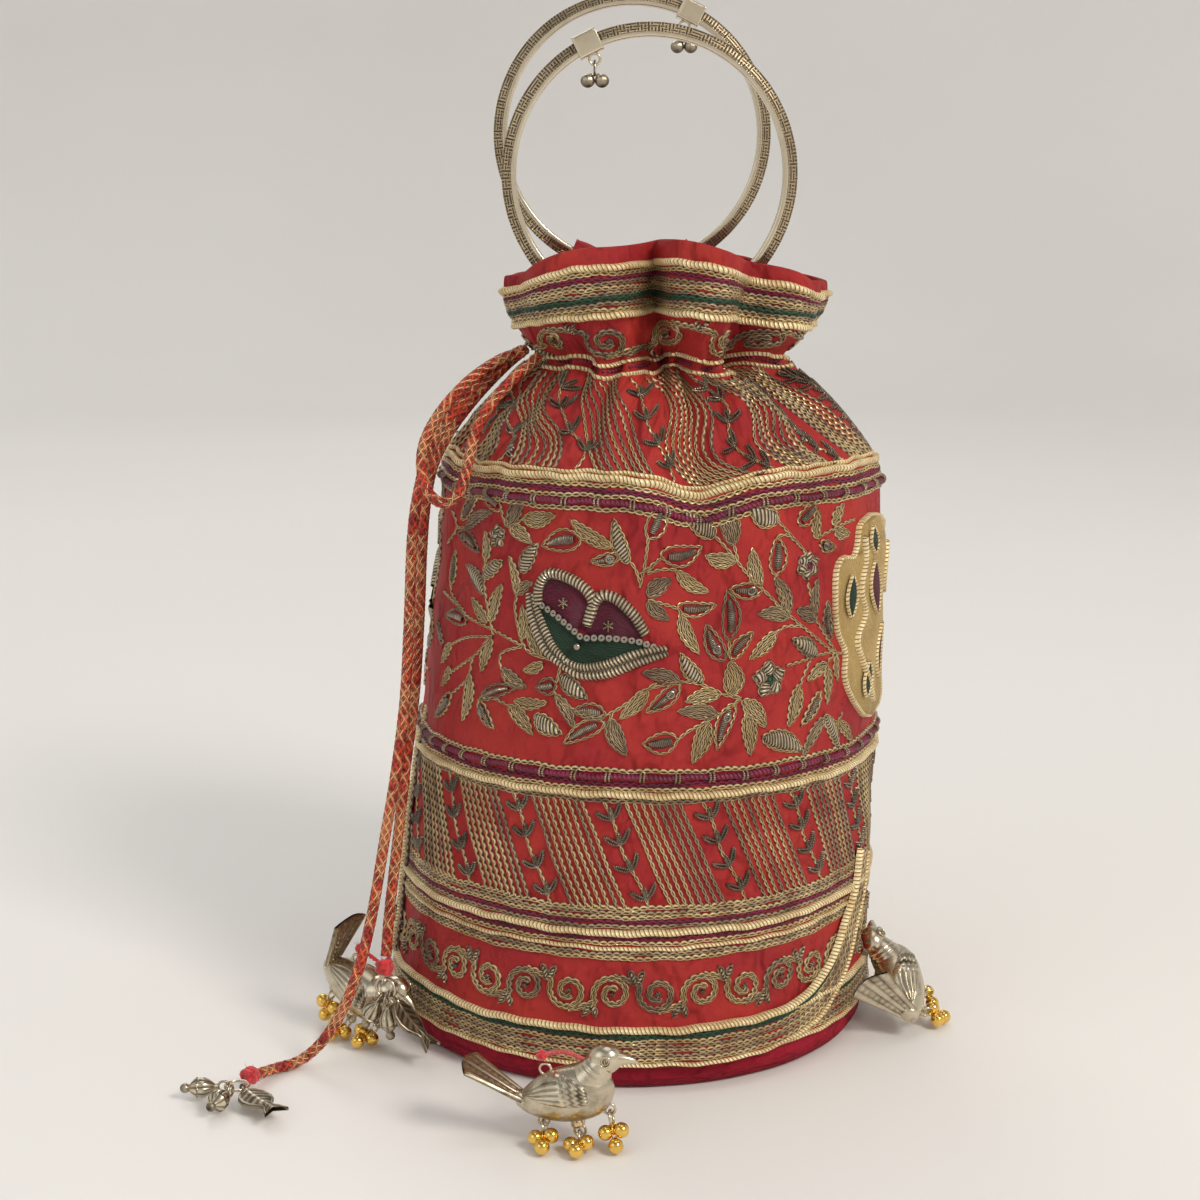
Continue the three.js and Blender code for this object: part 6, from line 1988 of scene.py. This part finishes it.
@dataclass
class Bird:
    """Pressed silver bird on a thread, with its bunches of gold beads."""

    palette: Palette
    name: str
    turn: float
    reach: float
    height: float
    yaw: float
    pitch: float
    roll: float
    tail: float
    length: float = 27.0
    width: float = 12.5
    depth: float = 15.0
    head: float = 3.9
    eyelet: float = 1.5
    wire: float = 0.38
    bead: float = 2.05
    jump: float = 1.9

    def build(self) -> None:
        """Build and dress the bird, its thread and its beads."""
        plain = WallShape(ripple_size=0.0)
        turn = self.turn * DEG
        hem = Vector(plain.point(turn, plain.hem + 1.3, 0.3))
        self.hem_place = Matrix.Translation(hem) @ turned("Z", turn)
        local = (Matrix.Translation(Vector((0, -self.reach,
                                            self.height - hem.z))) @ turned("Z", self.yaw * DEG)
                 @ turned("Y", self.pitch * DEG) @ turned("X", self.roll * DEG))
        self.perch = self.hem_place @ local
        self.local = local
        self.body()
        self.tie()
        for index, (x, z) in enumerate(self.belly(), 1):
            self.bunch(index, x, z)

    def belly(self) -> list:
        """Places of the eyelets under the body."""
        half = self.length / 2
        return [(-half * 0.55, -self.depth * 0.31), (half * 0.1, -self.depth * 0.475 - 2.2),
                (half * 0.78, -self.depth * 0.33)]

    def body(self) -> None:
        """Build the body, wings, head, tail, leg and eyelets."""
        draft = MeshDraft()
        draft.place = self.perch
        half = self.length / 2
        along = np.linspace(-1, 1, 72)
        girth = np.interp(along, [-1, -.94, -.88, -.72, -.5, -.25, -.05, .2, .4, .6, .78, .9, .97, 1],
                          [.02, .2, .32, .53, .74, .89, .97, 1, 1, .93, .76, .52, .28, .02])
        girth = np.convolve(np.pad(girth, 3, "edge"), np.ones(7) / 7, "valid")
        girth[0] = girth[-1] = 0.01
        angle = np.linspace(0, TAU, 72, endpoint=False)
        seam = np.exp(-((angle - math.pi) / 0.09) ** 2)[None, :]
        bead_line = seam * (0.5 + 0.5 * np.cos(along * 70))[:, None]
        size = girth[:, None] * (1 + 0.03 * bead_line)
        points = np.stack([np.broadcast_to((along * half)[:, None], size.shape),
                           size * np.sin(angle)[None, :] * self.width / 2,
                           size * np.cos(angle)[None, :] * self.depth / 2], -1)
        relief = np.clip(0.85 - 0.5 * seam + 0.8 * bead_line, 0, 1)
        relief = np.concatenate([relief, relief[:, :1]], 1)
        uv = np.stack([np.broadcast_to(along[:, None], relief.shape), relief], -1)
        draft.grid(points, uv, (False, True), flip=True)
        for side in (-1, 1):
            self.wing(draft, side, half)
        self.head_and_neck(draft)
        self.tail_fan(draft, half)
        self.leg(draft)
        for x, z in self.belly():
            draft.ring((x, 0, z - self.eyelet * 0.8), self.eyelet, self.wire, "Y", 22, 8, slot=1)
        draft.ring((-self.length * 0.12, 0, self.depth * 0.46 + self.eyelet * 0.5), self.eyelet, self.wire,
                   "Y", 22, 8,
                   slot=1)
        draft.make(f"silver_bird_{self.name}", self.palette.all("silver", "plain_silver", "fret"),
                   f"{self.name}_bird",
                   [f"bird_{self.name}"], "silver")

    def wing(self, draft: MeshDraft, side: int, half: float) -> None:
        """Raise one wing with scales at its shoulder, ridged feathers and a roped edge."""
        s, t = np.meshgrid(np.linspace(0, 1, 64), np.linspace(-1, 1, 41), indexing="ij")
        middle = 0.10 * np.sin(s * math.pi) + 0.16 * s
        wide = 0.31 * np.sin(np.clip(s * 1.05 + 0.04, 0, 1) * math.pi) ** 0.62 * (1 - 0.35 * s) + 0.012
        x = half * (0.62 - 1.42 * s)
        z = self.depth * (0.02 + middle + wide * t)
        shoulder = 1 - np.clip((s - 0.36) / 0.07, 0, 1)
        scales = (0.5 + 0.5 * np.cos(s * 52 + 2.2 * np.abs(np.sin(t * 9)))) * shoulder
        feathers = np.abs(np.sin((t * 2.6 + s * 0.7) * math.pi)) ** 0.7 * (1 - shoulder)
        edge = np.exp(-((np.abs(t) - 0.93) / 0.06) ** 2)
        rope = edge * (0.6 + 0.4 * np.cos(s * 95))
        band = np.exp(-((s - 0.4) / 0.025) ** 2) * (np.abs(t) < 0.9)
        high = np.clip(0.85 * scales + 0.9 * feathers + rope + band, 0.0, 1)
        thick = 0.85 * np.clip(1 - np.abs(t) ** 4, 0,
                               1) * np.clip(np.sin(np.clip(s, 0.01, 0.99) * math.pi) * 4, 0, 1)
        share = np.clip(x / half, -0.96, 0.96)
        girth = np.interp(share, [-1, -.72, -.5, -.05, .4, .78, 1], [.02, .53, .74, .97, 1, .76, .02])
        under = np.sqrt(np.clip(girth ** 2 - (z / (self.depth / 2)) ** 2, 0.02, 1)) * self.width / 2
        out = (under - 0.35 + thick + 0.5 * high * np.clip(thick * 3, 0, 1)) * side
        points = np.stack([x, out, z], -1)
        draft.grid(points, np.stack([s, 0.25 + 0.75 * high], -1), flip=side > 0)

    def head_and_neck(self, draft: MeshDraft) -> None:
        """Build the head with ringed eyes, a short beak and a collared neck."""
        face = np.array([self.length * 0.48, 0, self.depth * 0.5])
        draft.ball(face, self.head * 1.03, 36, 24, slot=1, scale=(1.12, 0.86, 1.0))
        path = smooth_path([(self.length * 0.22, 0, self.depth * 0.12),
                            (self.length * 0.33, 0, self.depth * 0.27),
                            (self.length * 0.42, 0, self.depth * 0.41), face], 0.35)
        share = np.linspace(0, 1, len(path))
        radius = np.interp(share, [0, 0.35, 0.7, 1], [5.6, 5.0, 3.9, 3.0])
        upper_collar = 0.22 * np.exp(-((share - 0.66) / 0.035) ** 2)
        lower_collar = 0.18 * np.exp(-((share - 0.5) / 0.03) ** 2)
        radius = radius + upper_collar + lower_collar
        draft.tube(path, radius, 36, slot=1)
        beak = smooth_path([face + (3.0, 0, -0.5), face + (5.4, 0, -1.1), face + (7.2, 0, -1.9),
                            face + (8.2, 0, -2.9)], 0.3)
        share = np.linspace(0, 1, len(beak))
        draft.tube(beak, 2.05 * (1 - share) ** 0.8 + 0.12, 16, slot=1)
        for side in (-1, 1):
            eye = face + (0.7, side * self.head * 0.93, 0.4)
            draft.ring(eye, 1.45, 0.26, "Y", 24, 8, slot=1)
            draft.ball(eye - (0, side * 0.2, 0), 0.8, 14, 10, slot=2, scale=(1, 0.7, 1))

    def tail_fan(self, draft: MeshDraft, half: float) -> None:
        """Build the ribbed fan of the tail."""
        s, t = np.meshgrid(np.linspace(0, 1, 40), np.linspace(-1, 1, 61), indexing="ij")
        long = 16.5 * (1 + 0.14 * np.cos(t * math.pi / 2)) * s
        wide = 3.1 + (7.0 - 3.1) * s
        y = t * wide * (1 - 0.10 * (1 - s))
        rib = np.abs(np.sin(t * 2.5 * math.pi + math.pi / 2)) ** 0.8
        bead = rib * (0.65 + 0.35 * np.cos(s * 60 + 0.0 * t)) * (np.abs(np.abs(t) - 0.4) < 0.2)
        high = np.clip(np.where(np.abs(np.abs(t) - 0.4) < 0.2, bead, rib), 0, 1)
        edge = np.clip((1 - np.abs(t)) * 12, 0, 1) * np.clip((1 - s) * 14, 0.2, 1)
        top = (0.25 + 0.75 * high) * edge
        upper = np.stack([-long, y, 0.25 + 0.55 * top], -1)
        lower = np.stack([-long, y, -0.25 - 0.45 * top], -1)
        points = np.concatenate([upper, lower[:, ::-1]], 1)
        relief = 0.4 + 0.6 * np.concatenate([high, high[:, ::-1]], 1)
        relief = np.concatenate([relief, relief[:, :1]], 1)
        uv = np.stack([np.broadcast_to(s[:, :1], relief.shape), relief], -1)
        before = draft.place
        draft.place = (before @ Matrix.Translation(Vector((-half * 0.82, 0, self.depth * 0.06)))
                       @ turned("Y", self.tail * DEG))
        draft.grid(points, uv, (False, True), flip=True)
        draft.ball((0, 0, 0), 2.3, 20, 12, slot=1, scale=(1.3, 1.2, 0.8))
        draft.place = before

    def leg(self, draft: MeshDraft) -> None:
        """Build the short leg stub with its collar."""
        x, z = self.belly()[1]
        path = np.stack([np.full(12, x), np.zeros(12), np.linspace(z + 4.4, z, 12)], -1)
        radius = np.interp(np.linspace(0, 1, 12), [0, 0.55, 0.7, 0.85, 1], [2.3, 1.95, 1.8, 2.05, 1.6])
        draft.tube(path, radius, 20, slot=1)

    def tie(self) -> None:
        """Build the twisted thread from the hem to the back, with its frayed knot."""
        above = self.depth * 0.46 + self.eyelet * 0.5 + self.eyelet + 0.35 + 0.3 + 1.7
        knot = np.array(self.local @ Vector((-self.length * 0.12, 0, above)))
        start = unit(knot) * 0.3
        middle = knot * 0.5 + (0, 0, 1.8)
        path = smooth_path([start, middle, knot], 0.3)
        draft = MeshDraft()
        draft.place = self.hem_place
        run = run_length(path)
        for phase in (0.0, math.pi):
            offset = np.stack([np.zeros_like(run), np.cos(run * 2.4 + phase), np.sin(run * 2.4 + phase)],
                              -1) * 0.32
            draft.tube(path + offset, 0.4, 7)
        source = random.Random(self.name)
        for k in range(4):
            turn = np.linspace(0, TAU, 14, endpoint=False)
            lean = np.array(Euler((k * 0.9, k * 1.3, k)).to_matrix())
            draft.tube(np.stack([np.cos(turn), np.sin(turn), 0.3 * np.sin(2 * turn)], -1) * 1.05 @ lean.T
                       + knot, 0.5, 6,
                       closed=True)
        for _ in range(26):
            way = unit(np.array([source.gauss(0, 1) for _ in range(3)]))
            tip = knot + way * source.uniform(1.8, 3.0)
            draft.tube(np.stack([knot + way * 0.9, tip]), np.array([0.08, 0.03]), 3)
        draft.make(f"tie_thread_{self.name}", self.palette.all("thread"), f"{self.name}_bird",
                   [f"bird_tie_{self.name}"], "thread")

    def bunch(self, index: int, x: float, z: float) -> None:
        """Build one jump ring with its three beads."""
        wire_z = z - self.eyelet * 0.8 - self.eyelet
        low = (self.perch @ Vector((x, 0, wire_z))).z
        sink = self.jump - 1.05
        fall = (2 * self.jump - 1.05 + self.bead * 2.6) * math.cos(self.pitch * DEG)
        rest = math.acos(min(max((low - self.bead - 0.4) / fall, 0), 1))
        draft = MeshDraft()
        draft.place = (self.perch @ Matrix.Translation(Vector((x, 0, wire_z)))
                       @ turned("X", -rest - self.roll * DEG))
        draft.ring((0, 0, -sink), self.jump, self.wire, "X", 22, 8, slot=1)
        wire = np.array([0, 0, -sink - self.jump])
        r = self.bead
        for bx, by, drop in ((-r * 1.04, -0.3, r * 0.8), (r * 1.04, 0, r * 0.8), (0, -0.2, r * 2.6)):
            centre = wire + (bx, by, -drop)
            way = unit(wire - centre)
            draft.ball(centre, r * 0.99, 22, 14)
            collar = centre + way * r * 0.96
            draft.tube(np.stack([collar, collar + way * 0.35]), np.array([0.75, 0.5]), 12)
            eye = centre + way * (r + 0.75)
            draft.ring(eye, 0.7, 0.22, "Y", 14, 6)
            if drop > 2 * r:
                draft.ring(wire + (0, 0, -1.15), 1.0, 0.22, "X", 16, 6, stretch=1.25)
        draft.make(f"gold_beads_{self.name}_{index}", self.palette.all("gold", "plain_silver"),
                   f"{self.name}_bunch_{index}", [f"bead_bunch_{self.name}_{index}"], "gold")


def main() -> None:
    """Build the bag piece by piece."""
    palette = Palette()
    Studio().build()
    cord = Drawcord(palette)
    cord.build()
    cord.declare(Charms(palette, cord).build())
    ClothBody(palette).build()
    Embroidery(palette).build()
    FloralPanel(palette).build()
    for handle in (Handle(palette, "front", 4.5, -21.5, 248.7, -26, -1),
                   Handle(palette, "rear", 0.3, 21, 260.4, 26, 1)):
        handle.build()
    for bird in (Bird(palette, "front", -10, 33, 14.2, 0, -15, 0, 46),
                 Bird(palette, "right", 71.5, 12, 13.6, 30, -34, -54, 108),
                 Bird(palette, "back", 176, 18, 14.6, 6, -8, 0, 48),
                 Bird(palette, "left", -67, 14.5, 15.6, 34, 22, 0, 96)):
        bird.build()


if __name__ == "__main__":
    main()
